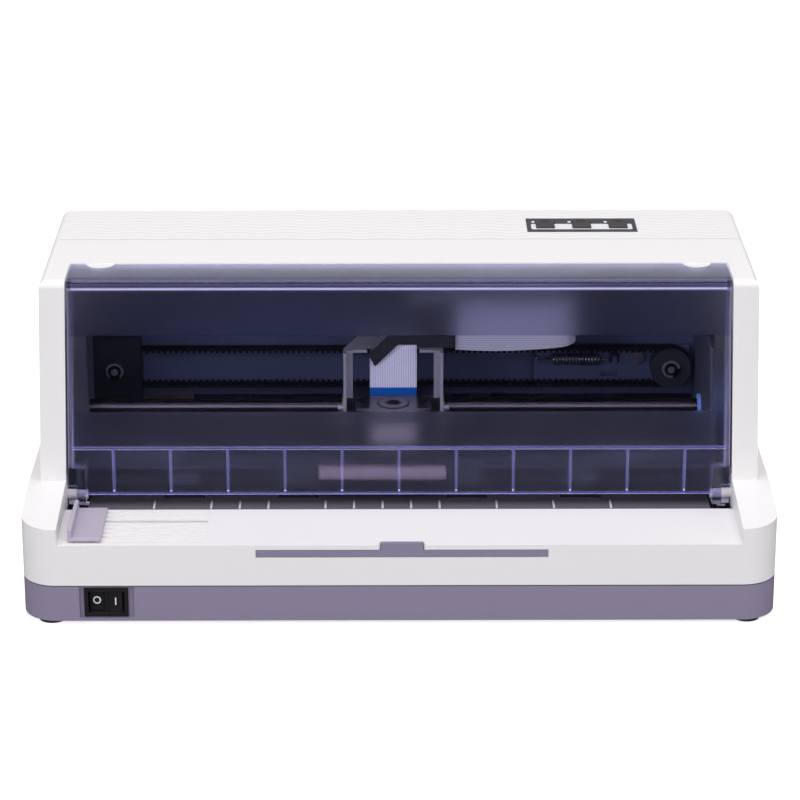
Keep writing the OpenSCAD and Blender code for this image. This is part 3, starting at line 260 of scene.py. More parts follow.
def finished_piece(name, mesh, body=None, node=None):
    """An object of this mesh with its material slot, riding on a body and standing for a CAD
    node where these are given."""
    piece = new_object(name, mesh)
    if body:
        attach(piece, body)
    if node:
        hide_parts(node)
    return piece


def eased_copy(node, body, material, width=0.0004, segments=2, smooth=True):
    """A copy of a CAD node with its facets merged and every edge sharper than 35 degrees
    rounded by width. It stands for the node and rides on the same body. With smooth off,
    every facet stays flat, so that a clear sheet doesn't bend what is seen through it."""
    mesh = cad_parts[node].data.copy()
    mesh.attributes.remove(mesh.attributes["custom_normal"])
    shape = bmesh.new()
    shape.from_mesh(mesh)
    bmesh.ops.remove_doubles(shape, verts=shape.verts, dist=2e-6)
    bmesh.ops.dissolve_limit(shape, angle_limit=math.radians(0.5), verts=shape.verts,
                             edges=shape.edges)
    for face in shape.faces:
        face.smooth = smooth
    shape.to_mesh(mesh)
    shape.free()
    if smooth:
        mesh.set_sharp_from_angle(angle=math.radians(35))
    mesh.materials.clear()
    mesh.materials.append(material)
    rough_piece = new_object(node + "_raw", mesh)
    edge = rough_piece.modifiers.new("edge", "BEVEL")
    edge.width = width
    edge.segments = segments
    edge.limit_method = "ANGLE"
    edge.angle_limit = math.radians(35)
    edge.use_clamp_overlap = True
    edge.harden_normals = smooth
    bpy.context.view_layer.update()
    finished = bpy.data.meshes.new_from_object(
        rough_piece.evaluated_get(bpy.context.evaluated_depsgraph_get()))
    bpy.data.objects.remove(rough_piece)
    finished_piece(node + "_finished", finished, body, node)


white_abs = moulded_material("white_abs", WHITE_ABS, roughness=0.4, mottle=0.015, depth=0.000008)


def box_mask(tree, bounds, softness=0.0006):
    """Nodes giving 1 inside an axis-aligned box in object coordinates and 0 outside, with a
    soft rim. bounds is ((x0, x1), (y0, y1), (z0, z1)), with None for an open axis or side."""
    parts = position(tree)[1]
    result = None
    for axis, limits in enumerate(bounds):
        for side, limit in zip((1.0, -1.0), limits or (None, None)):
            if limit is None:
                continue
            ramp = tree.nodes.new("ShaderNodeMapRange")
            ramp.inputs["From Min"].default_value = limit - side * softness
            ramp.inputs["From Max"].default_value = limit + side * softness
            tree.links.new(parts[axis], ramp.inputs["Value"])
            result = ramp.outputs[0] if result is None else joined(tree, "MULTIPLY", result,
                                                                   ramp.outputs[0])
    return result


def tinted_where(material, mask, color):
    """Lay a second base colour over a material wherever the mask is 1."""
    tree = material.node_tree
    base = tree.nodes["Principled BSDF"].inputs["Base Color"]
    under = base.links[0].from_socket if base.links else tuple(base.default_value)[:3]
    tree.links.new(blended(tree, mask, under, color), base)


def wave_relief(material, front_y, low_z, wave_x, wave_y, depth):
    """Emboss rows of flat waves behind front_y and above low_z, under a fine groove:
    height = sin(2 pi y / wave_y + 1.6 sin(2 pi x / wave_x)), times the area's mask."""
    tree = material.node_tree
    parts = position(tree)[1]
    sway = joined(tree, "SINE", joined(tree, "MULTIPLY", parts[0], 2 * math.pi / wave_x))
    rows = joined(tree, "MULTIPLY", parts[1], 2 * math.pi / wave_y)
    crest = joined(tree, "SINE", joined(tree, "MULTIPLY_ADD", sway, 1.6, rows))
    area = box_mask(tree, (None, (front_y, None), (low_z, None)))
    bump = bumped(tree, joined(tree, "MULTIPLY", crest, area), depth)
    tree.links.new(tree.nodes["grain_bump"].outputs["Normal"], bump.inputs["Normal"])


SEAM_Z = 0.0202
TRACK_X = (-0.1552, -0.0921)
shell_white = moulded_material("shell_white", WHITE_ABS, roughness=0.4, mottle=0.015,
                               depth=0.000008)
wave_relief(shell_white, RELIEF_FRONT_Y, 0.1555, RELIEF_WAVE_X, RELIEF_WAVE_Y, 0.00009)
# Painted shade: a thin line is painted darker along the front edge of the wave relief, for the
# shade in a fine groove there.
tinted_where(shell_white, box_mask(shell_white.node_tree, (
    None, (RELIEF_FRONT_Y - 0.0004, RELIEF_FRONT_Y + 0.0004), (0.1555, None)), 0.0002),
    (0.60, 0.59, 0.61))
# Painted shade: the bottom rim of the upper shell is painted near-black, for the shade in the seam
# gap over the lower shell.
tinted_where(shell_white, box_mask(shell_white.node_tree, (
    None, None, (None, SEAM_Z + 0.00025)), 0.00005), (0.05, 0.045, 0.06))
# The floor of the track between the low ribs that the sheet guide slides on is painted a little
# darker than the shell: painted shade between the ribs.
tinted_where(shell_white, box_mask(shell_white.node_tree, (
    TRACK_X, (FRONT_Y + 0.0030, FRONT_Y + 0.0425), (0.0400, 0.04125)), 0.00006),
    (0.78, 0.755, 0.765))
# Painted shade: a dark line is painted in front of the track, for the shade in the slot that the
# sheet guide runs in.
tinted_where(shell_white, box_mask(shell_white.node_tree, (
    (-0.1700, TRACK_X[1]), (FRONT_Y + 0.0281, FRONT_Y + 0.0300), (0.0350, 0.04095)), 0.00004),
    (0.22, 0.20, 0.22))
eased_copy("upper_case", "casing", shell_white, width=0.0008, segments=3)


# --- Lower shell, feet and case screws -----------------------------------------------------
# A shallow grey-lilac ABS base moulding carries the upper shell on a stepped seam and stands
# on four pressed-in rubber feet; countersunk self-tapping screws hold the shells together.
grey_abs = moulded_material("grey_abs", (0.262, 0.225, 0.335), roughness=0.45, mottle=0.03,
                            depth=0.00001)
# Painted shade: the top rim of the lower shell is painted near-black, for the shade in the seam
# gap under the upper shell.
tinted_where(grey_abs, box_mask(grey_abs.node_tree, (None, None, (SEAM_Z - 0.00025, None)),
                                0.00005), (0.03, 0.026, 0.035))
eased_copy("lower_case", "casing", grey_abs, width=0.0006)
foot_rubber = moulded_material("foot_rubber", (0.035, 0.03, 0.035), roughness=0.7, mottle=0.2,
                               grain=700.0, depth=0.00002)
zinc_plated = moulded_material("zinc_plated", (0.62, 0.60, 0.58), roughness=0.28, mottle=0.15,
                               grain=900.0, depth=0.000006, metallic=1.0)


def dress(material, *nodes):
    """Give each of these CAD nodes this one material; the meshes themselves stay as they are."""
    for node in nodes:
        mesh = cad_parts[node].data
        mesh.materials.clear()
        mesh.materials.append(material)


dress(foot_rubber, "rubber_feet")
dress(zinc_plated, "case_screws")


# --- Front cover ---------------------------------------------------------------------------
# One piece of smoke-lilac transparent plastic. Its inner faces are frosted except for a
# polished window; a rolled crest, end flanges with ears and a row of upright ribs stiffen it.
COVER_WINDOW_X = (-0.1498, 0.1511)
COVER_WINDOW_Z = (0.0885, 0.1273)
COVER_INNER_Y = -0.0830 + 0.0022


def smoked_material(name, tint, frost):
    """Tinted clear plastic: transmission through smooth outer faces and frosted inner faces.
    frost is the roughness of the frosted faces."""
    material, tree, bsdf = principled(name)
    bsdf.inputs["Base Color"].default_value = (*tint, 1.0)
    bsdf.inputs["IOR"].default_value = 1.49
    bsdf.inputs["Specular Tint"].default_value = (0.40, 0.42, 0.62, 1.0)
    bsdf.inputs["Metallic"].default_value = 0.0
    bsdf.inputs["Transmission Weight"].default_value = 1.0
    # Lamp rays pass straight through, so the works inside are lit.
    lamp_path = tree.nodes.new("ShaderNodeLightPath")
    lamp_pass = tree.nodes.new("ShaderNodeBsdfTransparent")
    lamp_pass.inputs["Color"].default_value = (1.0, 1.0, 1.0, 1.0)
    lamp_mix = tree.nodes.new("ShaderNodeMixShader")
    tree.links.new(lamp_path.outputs["Is Shadow Ray"], lamp_mix.inputs[0])
    tree.links.new(bsdf.outputs[0], lamp_mix.inputs[1])
    tree.links.new(lamp_pass.outputs[0], lamp_mix.inputs[2])
    tree.links.new(lamp_mix.outputs[0], tree.nodes["Material Output"].inputs["Surface"])
    # Faces in front of the sheet's inner side stay glossy; the rest is frosted, apart from
    # the polished window.
    place, parts = position(tree)
    inner = tree.nodes.new("ShaderNodeMapRange")
    inner.inputs["From Min"].default_value = COVER_INNER_Y - 0.0006
    inner.inputs["From Max"].default_value = COVER_INNER_Y - 0.0002
    tree.links.new(parts[1], inner.inputs["Value"])
    window = box_mask(tree, (COVER_WINDOW_X, None, COVER_WINDOW_Z))
    frosted = joined(tree, "MULTIPLY", inner.outputs[0], joined(tree, "SUBTRACT", 1.0, window))
    grain = noise(tree, place, 900.0)
    level = joined(tree, "MULTIPLY_ADD", grain, 0.05, frost)
    tree.links.new(joined(tree, "MULTIPLY_ADD", frosted, level, 0.02),
                   bsdf.inputs["Roughness"])
    tree.links.new(frosted, bumped(tree, grain, 0.000004).inputs["Strength"])
    return material


def paint_highlight_glow(material, masks):
    """Painted highlights: the edges and ribs of a clear moulding glow, though no lamp is there.
    The emission is the sum of mask x colour over the given (mask socket, colour) pairs."""
    tree = material.node_tree
    total = None
    for mask, color in masks:
        part = scaled(tree, color, mask)
        if total is None:
            total = part
        else:
            both = tree.nodes.new("ShaderNodeVectorMath")
            tree.links.new(total, both.inputs[0])
            tree.links.new(part, both.inputs[1])
            total = both.outputs[0]
    bsdf = tree.nodes["Principled BSDF"]
    tree.links.new(total, bsdf.inputs["Emission Color"])
    bsdf.inputs["Emission Strength"].default_value = 1.0


smoked_plastic = smoked_material("smoked_plastic", (0.70, 0.71, 0.87), frost=0.40)
cover_tree = smoked_plastic.node_tree
COVER_RIB_PITCH = 0.0278
rib_phase = joined(cover_tree, "PINGPONG", position(cover_tree)[1][0], COVER_RIB_PITCH / 2)
on_rib = joined(cover_tree, "LESS_THAN", rib_phase, 0.00055)
behind_sheet = box_mask(cover_tree, (None, (COVER_INNER_Y + 0.0003, None), (0.046, 0.0687)),
                        0.0001)
rib_bar = box_mask(cover_tree, (None, (COVER_INNER_Y + 0.0003, None), (0.0686, 0.0698)), 0.0001)
low_edge = box_mask(cover_tree, ((-0.1525, 0.1525), (None, COVER_INNER_Y + 0.0010),
                                 (None, 0.0466)), 0.0002)
crest_front = box_mask(cover_tree, (None, (None, COVER_INNER_Y + 0.0005), (0.1504, 0.1521)),
                       0.0003)
crest_line = box_mask(cover_tree, (None, (None, COVER_INNER_Y + 0.0030), (0.1549, 0.1553)),
                      0.0001)
top_sheet = box_mask(cover_tree, (None, (COVER_INNER_Y + 0.0165, None), (0.1550, None)), 0.009)
left_rim = box_mask(cover_tree, ((None, -0.1578), None, (0.060, 0.150)), 0.0004)
right_rim = box_mask(cover_tree, ((0.1578, None), None, (0.060, 0.150)), 0.0004)
# Painted reflection: a dark band is painted along the rolled crest, where its curve reflects
# darkness.
tinted_where(smoked_plastic, box_mask(cover_tree, (
    None, (None, COVER_INNER_Y + 0.0030), (0.1522, 0.1556)), 0.0003), (0.10, 0.10, 0.25))
# The front sheet is tinted darker above the window and below it.
tinted_where(smoked_plastic, box_mask(cover_tree, (
    None, (None, COVER_INNER_Y + 0.0030), (COVER_WINDOW_Z[1], 0.1500)), 0.0004),
    (0.50, 0.51, 0.76))
tinted_where(smoked_plastic, box_mask(cover_tree, (
    None, (None, COVER_INNER_Y + 0.0030), (None, COVER_WINDOW_Z[0])), 0.0004),
    (0.62, 0.62, 0.84))
# Painted shade: the sheet is tinted darker still towards its bottom edge, for the shade low in the
# paper path behind it.
tinted_where(smoked_plastic, box_mask(cover_tree, (
    None, (None, COVER_INNER_Y + 0.0030), (None, 0.0560)), 0.0080), (0.40, 0.40, 0.56))
# Painted highlights: the ribs, the rib bar, the bottom edge, the crest, the top sheet and the two
# end rims glow as painted highlights and reflections of the lamps.
paint_highlight_glow(smoked_plastic, [
    (joined(cover_tree, "MULTIPLY", on_rib, behind_sheet), (0.10, 0.10, 0.24)),
    (rib_bar, (0.04, 0.04, 0.10)), (low_edge, (0.035, 0.035, 0.18)),
    (crest_front, (0.10, 0.09, 0.17)), (crest_line, (0.08, 0.08, 0.16)),
    (top_sheet, (0.035, 0.030, 0.06)),
    (left_rim, (0.05, 0.045, 0.075)), (right_rim, (0.05, 0.045, 0.075))])
eased_copy("front_cover", "front_cover", smoked_plastic, width=0.0003,
           smooth=False)
pivot_plastic = moulded_material("pivot_plastic", (0.72, 0.68, 0.72), roughness=0.4)
dress(pivot_plastic, "cover_hinge_pins")


# --- Rear cover ----------------------------------------------------------------------------
# A ribbed white ABS lid that lies flush in the rear slope and lifts on two moulded pivots.
eased_copy("rear_cover", "rear_cover", white_abs, width=0.0005)


# --- Control panel -------------------------------------------------------------------------
# A smooth dark bezel with a printed pale border holds three dark push buttons, each with a
# black indicator lens at its rear end; a small circuit board under it takes the presses.
PANEL_CENTRE_X = 0.0920
PANEL_CENTRE_Y = 0.0052
PANEL_FACE_Z = 0.1563
BUTTON_PITCH = 0.01825
BUTTON_TOP_Z = 0.1573


def new_mesh(name, verts, faces, material):
    """A mesh of these points (n x 3) and faces, in one material."""
    mesh = bpy.data.meshes.new(name)
    mesh.from_pydata(np.asarray(verts).tolist(), [], faces)
    mesh.materials.append(material)
    return mesh


def flat_patch(name, outline, z_level, material, body, thickness=0.00005):
    """A very thin printed or painted plate: the closed outline (n x 2 points, anticlockwise)
    raised by thickness over the level z_level."""
    outline = np.asarray(outline, float)
    count = len(outline)
    low = np.column_stack([outline, np.full(count, z_level)])
    high = np.column_stack([outline, np.full(count, z_level + thickness)])
    ring = np.arange(count)
    nxt = (ring + 1) % count
    walls = np.column_stack([ring, nxt, nxt + count, ring + count]).tolist()
    faces = [list(ring[::-1]), list(ring + count)] + walls
    finished_piece(name, new_mesh(name, np.vstack([low, high]), faces, material), body)


def rounded_outline(centre_x, centre_y, width, depth, radius, steps=8):
    """Anticlockwise outline of a rectangle with rounded corners:
    corner centre + radius x (cos t, sin t), t running over a quarter turn at each corner."""
    turn = np.linspace(0, math.pi / 2, steps)
    points = []
    for quarter, (side_x, side_y) in enumerate(((1, 1), (-1, 1), (-1, -1), (1, -1))):
        angle = turn + quarter * math.pi / 2
        points.append(np.column_stack([
            centre_x + side_x * (width / 2 - radius) + radius * np.cos(angle),
            centre_y + side_y * (depth / 2 - radius) + radius * np.sin(angle)]))
    return np.vstack(points)


panel_dark = moulded_material("panel_dark", (0.030, 0.033, 0.050), roughness=0.35, mottle=0.05)
button_dark = moulded_material("button_dark", (0.048, 0.038, 0.046), roughness=0.4,
                               mottle=0.05, specular=0.3)
panel_ink = moulded_material("panel_ink", (0.78, 0.77, 0.80), roughness=0.5, mottle=0.05)
eased_copy("control_panel", "casing", panel_dark, width=0.0003)
for spot, body in enumerate(("button_left", "button_middle", "button_right")):
    button_x = PANEL_CENTRE_X + (spot - 1) * BUTTON_PITCH
    tinted_where(button_dark, box_mask(button_dark.node_tree, (
        (button_x - 0.0021, button_x + 0.0021),
        (PANEL_CENTRE_Y + 0.0018, PANEL_CENTRE_Y + 0.0042), (BUTTON_TOP_Z - 0.0003, None)),
        0.0002), (0.010, 0.010, 0.012))
    eased_copy(body, body, button_dark, width=0.0005, segments=3)


flat_patch("panel_field", rounded_outline(PANEL_CENTRE_X, PANEL_CENTRE_Y - 0.0031, 0.0506,
           0.0092, 0.0012), PANEL_FACE_Z - 0.00001, panel_ink, "casing",
           thickness=0.00004)
for spot in range(3):
    mark_x = PANEL_CENTRE_X + (spot - 1) * BUTTON_PITCH - 0.0058
    flat_patch("panel_dot_%d" % spot, rounded_outline(mark_x, PANEL_CENTRE_Y + 0.0050, 0.0017,
               0.0026, 0.0008), PANEL_FACE_Z + 0.00001, panel_ink, "casing",
               thickness=0.00004)
board_green = moulded_material("board_green", (0.03, 0.16, 0.08), roughness=0.35, mottle=0.25)
dress(board_green, "panel_board", "main_board")


# --- Paper tray fittings -------------------------------------------------------------------
# The grey-lilac edge guide slides along the tray floor, and the darker paper support pulls
# out from its slot under the tray lip; both are plain mouldings.
guide_plastic = moulded_material("guide_plastic", (0.47, 0.42, 0.52), roughness=0.4,
                                 mottle=0.03)
support_plastic = moulded_material("support_plastic", (0.255, 0.225, 0.325), roughness=0.42,
                                   mottle=0.03)
eased_copy("sheet_guide", "sheet_guide", guide_plastic, width=0.0004)
eased_copy("paper_extension", "paper_extension", support_plastic,
           width=0.0004)


# --- Mains switch and inlet ----------------------------------------------------------------
# A snap-in black rocker switch sits in the front recess, marked with a ring and a bar; the mains
# inlet at the back is a black moulding, and the two computer sockets at the back are given one
# plated metal finish.
switch_black = moulded_material("switch_black", (0.014, 0.012, 0.014), roughness=0.3,
                                mottle=0.1, grain=1200.0)
eased_copy("switch_body", "casing", switch_black, width=0.0003)
eased_copy("switch_rocker", "switch_rocker", switch_black, width=0.0004,
           segments=3)
dress(switch_black, "ac_inlet")
port_shell = moulded_material("port_shell", (0.55, 0.55, 0.57), roughness=0.32, mottle=0.1,
                              metallic=1.0)
dress(port_shell, "interface_ports")
ROCKER_X = -0.1395
ROCKER_Z = 0.0117
ROCKER_FACE_Y = -0.1350


def switch_marks():
    """Points and faces of the ring and the bar moulded in white on the rocker's two faces.
    The faces fall back from the rocker's ridge; each mark is laid 0.04 mm above its face."""
    tip = math.radians(10.0)
    slope = math.atan2(1.0, 8.0)

    def lay(points, side):
        """Points (along, up) of one face, turned with the rocker into the CAD frame."""
        along, up = np.asarray(points, float).T
        local_x = side * along * math.cos(slope)
        local_y = -along * math.sin(slope) - 0.00004
        turned_x = local_x * math.cos(-tip) - local_y * math.sin(-tip)
        turned_y = local_x * math.sin(-tip) + local_y * math.cos(-tip)
        return np.column_stack([ROCKER_X + turned_x, ROCKER_FACE_Y + 0.003 + turned_y,
                                ROCKER_Z + up])

    turn = np.linspace(0, 2 * math.pi, 48, endpoint=False)
    ring = np.vstack([np.column_stack([0.0046 + r * np.cos(turn), r * np.sin(turn)])
                      for r in (0.0019, 0.0013)])
    index = np.arange(48)
    after = (index + 1) % 48
    faces = np.column_stack([index, after, after + 48, index + 48]).tolist()
    bar = [(0.0043, -0.0019), (0.0049, -0.0019), (0.0049, 0.0019), (0.0043, 0.0019)]
    return np.vstack([lay(ring, -1), lay(bar, 1)]), faces + [[96, 97, 98, 99]]


mark_white = moulded_material("mark_white", (0.85, 0.86, 0.86), roughness=0.45, mottle=0.02)
finished_piece("switch_marks", new_mesh("switch_marks", *switch_marks(), mark_white),
               "switch_rocker")


# --- Mechanism frame -----------------------------------------------------------------------
# Zinc-plated sheet steel base, side frames coloured near-black, a steel cross plate coloured dark
# blue as painted shade and turned bright shafts; hidden boards and motors stand behind them.
def brushed_material(name, color, roughness=0.3, stretch=(1.0, 1.0, 1.0), wear=0.12,
                     metallic=1.0):
    """Metal with a drawn or ground finish: noise stretched across the grain direction
    lightens and darkens the colour, roughens the face and lifts a faint bump."""
    material, tree, bsdf = principled(name)
    bsdf.inputs["Metallic"].default_value = metallic
    drawn = tree.nodes.new("ShaderNodeMapping")
    drawn.inputs["Scale"].default_value = stretch
    tree.links.new(position(tree)[0], drawn.inputs["Vector"])
    grain = noise(tree, drawn.outputs["Vector"], 260.0, detail=5.0)

    def spread(low, high):
        """The grain's value stretched from low to high."""
        node = tree.nodes.new("ShaderNodeMapRange")
        node.inputs["To Min"].default_value = low
        node.inputs["To Max"].default_value = high
        tree.links.new(grain, node.inputs["Value"])
        return node.outputs[0]

    tree.links.new(scaled(tree, color, spread(1.0 - wear, 1.0 + wear)),
                   bsdf.inputs["Base Color"])
    tree.links.new(spread(roughness - 0.07, roughness + 0.1), bsdf.inputs["Roughness"])
    bumped(tree, grain, 0.000006)
    return material


plated_sheet = brushed_material("plated_sheet", (0.60, 0.58, 0.62), roughness=0.38,
                                stretch=(0.4, 1.0, 1.0))
turned_steel = brushed_material("turned_steel", (0.74, 0.73, 0.76), roughness=0.2,
                                stretch=(6.0, 1.0, 1.0), wear=0.06)
frame_dark = moulded_material("frame_dark", (0.055, 0.058, 0.085), roughness=0.5, mottle=0.15)
# The guide rod's steel is coloured near-black, a painted dark reflection of the unlit housing
# round it.
rod_steel = brushed_material("rod_steel", (0.085, 0.065, 0.072), roughness=0.22,
                             stretch=(0.1, 1.0, 1.0), wear=0.1)
# A painted highlight: one narrow pale line along the rod's front shoulder stands for the lamps
# catching it.
tinted_where(rod_steel, box_mask(rod_steel.node_tree, (
    None, (None, FRONT_Y + 0.1175), (0.0678, 0.0690)), 0.0002), (0.46, 0.40, 0.41))
# Painted shade: the rear chassis plate and the idler bracket are steel, coloured dark blue for the
# shade they stand in behind the smoked cover.
chassis_shaded_steel = moulded_material("chassis_shaded_steel", (0.062, 0.078, 0.145), roughness=0.45,
                                 mottle=0.15, grain=600.0)
motor_black = moulded_material("motor_black", (0.006, 0.006, 0.009), roughness=0.35,
                               mottle=0.2)
dress(plated_sheet, "base_frame", "cross_rails")
# The side frames are coloured near-black.
dress(frame_dark, "side_frame_left", "side_frame_right")
dress(chassis_shaded_steel, "rear_chassis_plate", "idler_bracket")
dress(rod_steel, "guide_rod")
dress(turned_steel, "front_feed_shaft", "rear_feed_shaft", "tractor_shaft",
      "platen")
screw_steel = brushed_material("screw_steel", (0.30, 0.29, 0.30), roughness=0.3, wear=0.3)
dress(screw_steel, "chassis_screws")
dress(motor_black, "motor_bracket", "carriage_motor", "feed_motor", "tractor_left",
      "tractor_right")


def from_centre(tree, axes, centre):
    """The offsets from the centre along two axes of the object coordinates, and the
    distance from it in their plane."""
    parts = position(tree)[1]
    first, second = (joined(tree, "SUBTRACT", parts[axis], middle)
                     for axis, middle in zip(axes, centre))
    squares = [joined(tree, "MULTIPLY", side, side) for side in (first, second)]
    return first, second, joined(tree, "SQRT", joined(tree, "ADD", *squares))


def between(tree, value, low, high):
    """1 where the value lies between low and high, otherwise 0."""
    return joined(tree, "MULTIPLY", joined(tree, "GREATER_THAN", value, low),
                  joined(tree, "LESS_THAN", value, high))


def clip_end_material(name, centre_x, centre_z, gap_turn):
    """Shaft end with its retaining ring, seen along the shaft: a steel core, a dark groove
    and a bright ring that is open over a quarter turn centred on the angle gap_turn."""
    material = brushed_material(name, (0.50, 0.49, 0.50), roughness=0.35, wear=0.2)
    tree = material.node_tree
    across, up, radius = from_centre(tree, (0, 2), (centre_x, centre_z))
    groove = between(tree, radius, 0.0019, 0.0033)
    # The ring is open where the direction from the centre lies close to the gap direction.
    toward = joined(tree, "MULTIPLY_ADD", across, math.cos(gap_turn),
                    joined(tree, "MULTIPLY", up, math.sin(gap_turn)))
    opening = joined(tree, "MULTIPLY",
                     joined(tree, "GREATER_THAN", toward, joined(tree, "MULTIPLY", radius, 0.75)),
                     joined(tree, "GREATER_THAN", radius, 0.0018))
    # Painted shade: the groove and the ring's open gap are painted near-black.
    tinted_where(material, joined(tree, "MAXIMUM", groove, opening), (0.008, 0.008, 0.012))
    return material


dress(clip_end_material("drive_clip", -0.1452, 0.0780, -math.pi / 2), "drive_pulley")
dress(clip_end_material("idler_clip", 0.1399, 0.0780, -0.6), "idler_shaft")


def dome_head(name, centre, radius, height):
    """The flat dome of a screw head that faces the front: radius sin t round the axis and
    height cos t towards the viewer, t from 0 at the crown to a quarter turn at the rim."""
    tilt = np.linspace(0.05, math.pi / 2, 7)
    turn = np.linspace(0, 2 * math.pi, 24, endpoint=False)
    tilt_grid, turn_grid = np.meshgrid(tilt, turn, indexing="ij")
    verts = np.stack([centre[0] + radius * np.sin(tilt_grid) * np.cos(turn_grid),
                      centre[1] - height * np.cos(tilt_grid),
                      centre[2] + radius * np.sin(tilt_grid) * np.sin(turn_grid)], axis=-1)
    row, column = np.meshgrid(np.arange(6), np.arange(24), indexing="ij")
    after = (column + 1) % 24
    faces = np.stack([row * 24 + column, row * 24 + after, (row + 1) * 24 + after,
                      (row + 1) * 24 + column], axis=-1).reshape(-1, 4)[:, ::-1]
    mesh = new_mesh(name, verts.reshape(-1, 3), faces.tolist() + [
        list(range(24)), list(range(6 * 24, 7 * 24))[::-1]], zinc_plated)
    mesh.shade_smooth()
    return mesh


finished_piece("motor_screw", dome_head("motor_screw", (-0.1446, FRONT_Y + 0.1580, 0.1029),
                                        0.0034, 0.0022), "casing")
insulating_card = moulded_material("insulating_card", (0.42, 0.33, 0.19), roughness=0.6,
                                   mottle=0.2)
dress(insulating_card, "power_supply")


# --- Paper path ----------------------------------------------------------------------------
# A ribbed lower guide in painted light and shade, ground rubber feed rollers and dark nylon pinch
# rollers.
# Painted light and shade: the lower guide is coloured dark for the shade it lies in, the tops of
# its ribs are painted pale where the lamps reach them, and its rear part is painted darker still.
lower_guide_plastic = moulded_material("lower_guide_plastic", (0.115, 0.10, 0.125),
                                       roughness=0.4, mottle=0.05)
tinted_where(lower_guide_plastic, box_mask(lower_guide_plastic.node_tree, (
    None, None, (0.04115, None)), 0.00005), (0.60, 0.56, 0.64))
tinted_where(lower_guide_plastic, box_mask(lower_guide_plastic.node_tree, (
    None, (FRONT_Y + 0.0520, None), None), 0.0040), (0.02, 0.018, 0.024))
dress(lower_guide_plastic, "lower_paper_guide")
# The upper guide is a dark painted sheet whose curled lip in the middle is left bare. Its front
# edge and its rear part are painted darker as painted shade; the lip is painted a pale warm tone,
# partly its bare metal and partly a painted highlight.
guide_sheet = moulded_material("guide_sheet", (0.165, 0.165, 0.215), roughness=0.42, mottle=0.12,
                               grain=600.0, metallic=0.35)
tinted_where(guide_sheet, box_mask(guide_sheet.node_tree, (
    None, (None, FRONT_Y + 0.0760), None), 0.004), (0.030, 0.030, 0.045))
tinted_where(guide_sheet, box_mask(guide_sheet.node_tree, (
    None, (FRONT_Y + 0.1100, None), None), 0.006), (0.040, 0.040, 0.055))
tinted_where(guide_sheet, box_mask(guide_sheet.node_tree, (
    (-0.0391, 0.0229), (None, FRONT_Y + 0.0640), None), 0.0002), (0.31, 0.225, 0.235))
dress(guide_sheet, "upper_paper_guide")
roller_rubber = moulded_material("roller_rubber", (0.005, 0.005, 0.006), roughness=0.7,
                                 mottle=0.2, grain=900.0, depth=0.00003, specular=0.15)
dress(roller_rubber, "front_rollers", "rear_rollers", "timing_belt")
nylon_dark = moulded_material("nylon_dark", (0.018, 0.018, 0.026), roughness=0.45, mottle=0.1)
dress(nylon_dark, "front_pinch_rollers", "rear_pinch_rollers", "idler_pulley")
gear_nylon = moulded_material("gear_nylon", (0.72, 0.68, 0.58), roughness=0.35, mottle=0.05)
dress(gear_nylon, "idler_gear", "transfer_gear")
pinion_brass = brushed_material("pinion_brass", (0.70, 0.52, 0.25), roughness=0.3)
dress(pinion_brass, "motor_pinion")


# --- Gap lever -----------------------------------------------------------------------------
# A blue moulded lever on the end of the guide rod sets the gap to the paper.
lever_blue = moulded_material("lever_blue", (0.24, 0.42, 0.95), roughness=0.35, mottle=0.04)
eased_copy("gap_lever", "gap_adjuster", lever_blue, width=0.0003)


# --- Carriage and print head ---------------------------------------------------------------
# A dark moulded carriage under a plated steel bridge; the round black head carries a bright
# pressed plate, and a clip holds its flat white cable to the rear.
carriage_dark = moulded_material("carriage_dark", (0.045, 0.045, 0.055), roughness=0.4,
                                 mottle=0.08)
sintered_bronze = brushed_material("sintered_bronze", (0.45, 0.33, 0.16), roughness=0.42)
head_black = moulded_material("head_black", (0.02, 0.019, 0.024), roughness=0.42, mottle=0.15)
head_bright = moulded_material("head_bright", (0.17, 0.15, 0.165), roughness=0.33, mottle=0.4,
                               grain=500.0, metallic=0.55)
HEAD_X = -0.0027
HEAD_PLATE_Y = FRONT_Y + 0.0970
# A bare pale sticker on the front of the head.
tinted_where(head_black, box_mask(head_black.node_tree, (
    (HEAD_X - 0.0108, HEAD_X + 0.0108), (None, HEAD_PLATE_Y), (0.0600, 0.0708)), 0.0002),
    (0.30, 0.26, 0.27))
# The plate narrows behind its front lips, so its rear corners lie in the head's black body; two
# pressed rings round the screw hole are painted dark as painted shade in their folds, a narrow
# outer ring and a disc out to the inner ring.
for corner in ((None, HEAD_X - 0.0118), (HEAD_X + 0.0118, None)):
    tinted_where(head_bright, box_mask(head_bright.node_tree, (
        corner, (HEAD_PLATE_Y - 0.0070, None), None), 0.0003), (0.012, 0.011, 0.014))
head_tree = head_bright.node_tree
head_radius = from_centre(head_tree, (0, 1), (HEAD_X, HEAD_PLATE_Y))[2]
tinted_where(head_bright, between(head_tree, head_radius, 0.0072, 0.0083), (0.02, 0.018, 0.02))
tinted_where(head_bright, between(head_tree, head_radius, 0.0000, 0.0042), (0.03, 0.026, 0.03))
bridge_steel = moulded_material("bridge_steel", (0.40, 0.39, 0.41), roughness=0.4, mottle=0.12,
                                grain=800.0, metallic=0.5)
dress(carriage_dark, "carriage_body")
dress(sintered_bronze, "carriage_bushes")
dress(head_black, "print_head")
dress(head_bright, "head_plate")
dress(bridge_steel, "carriage_bracket")


# --- Flat cable ----------------------------------------------------------------------------
# The printed film cable rises from the head, folds over the bridge and runs in a loop to the
# fixed clip; each conductor shows as a fine line and a blue stiffener backs its lower end.
CABLE_WHITE = (0.86, 0.84, 0.92)
STIFFENER_BLUE = (0.0, 0.10, 0.42)
CONDUCTOR_PITCH = 0.00117
CONDUCTOR_SHARE = 0.34


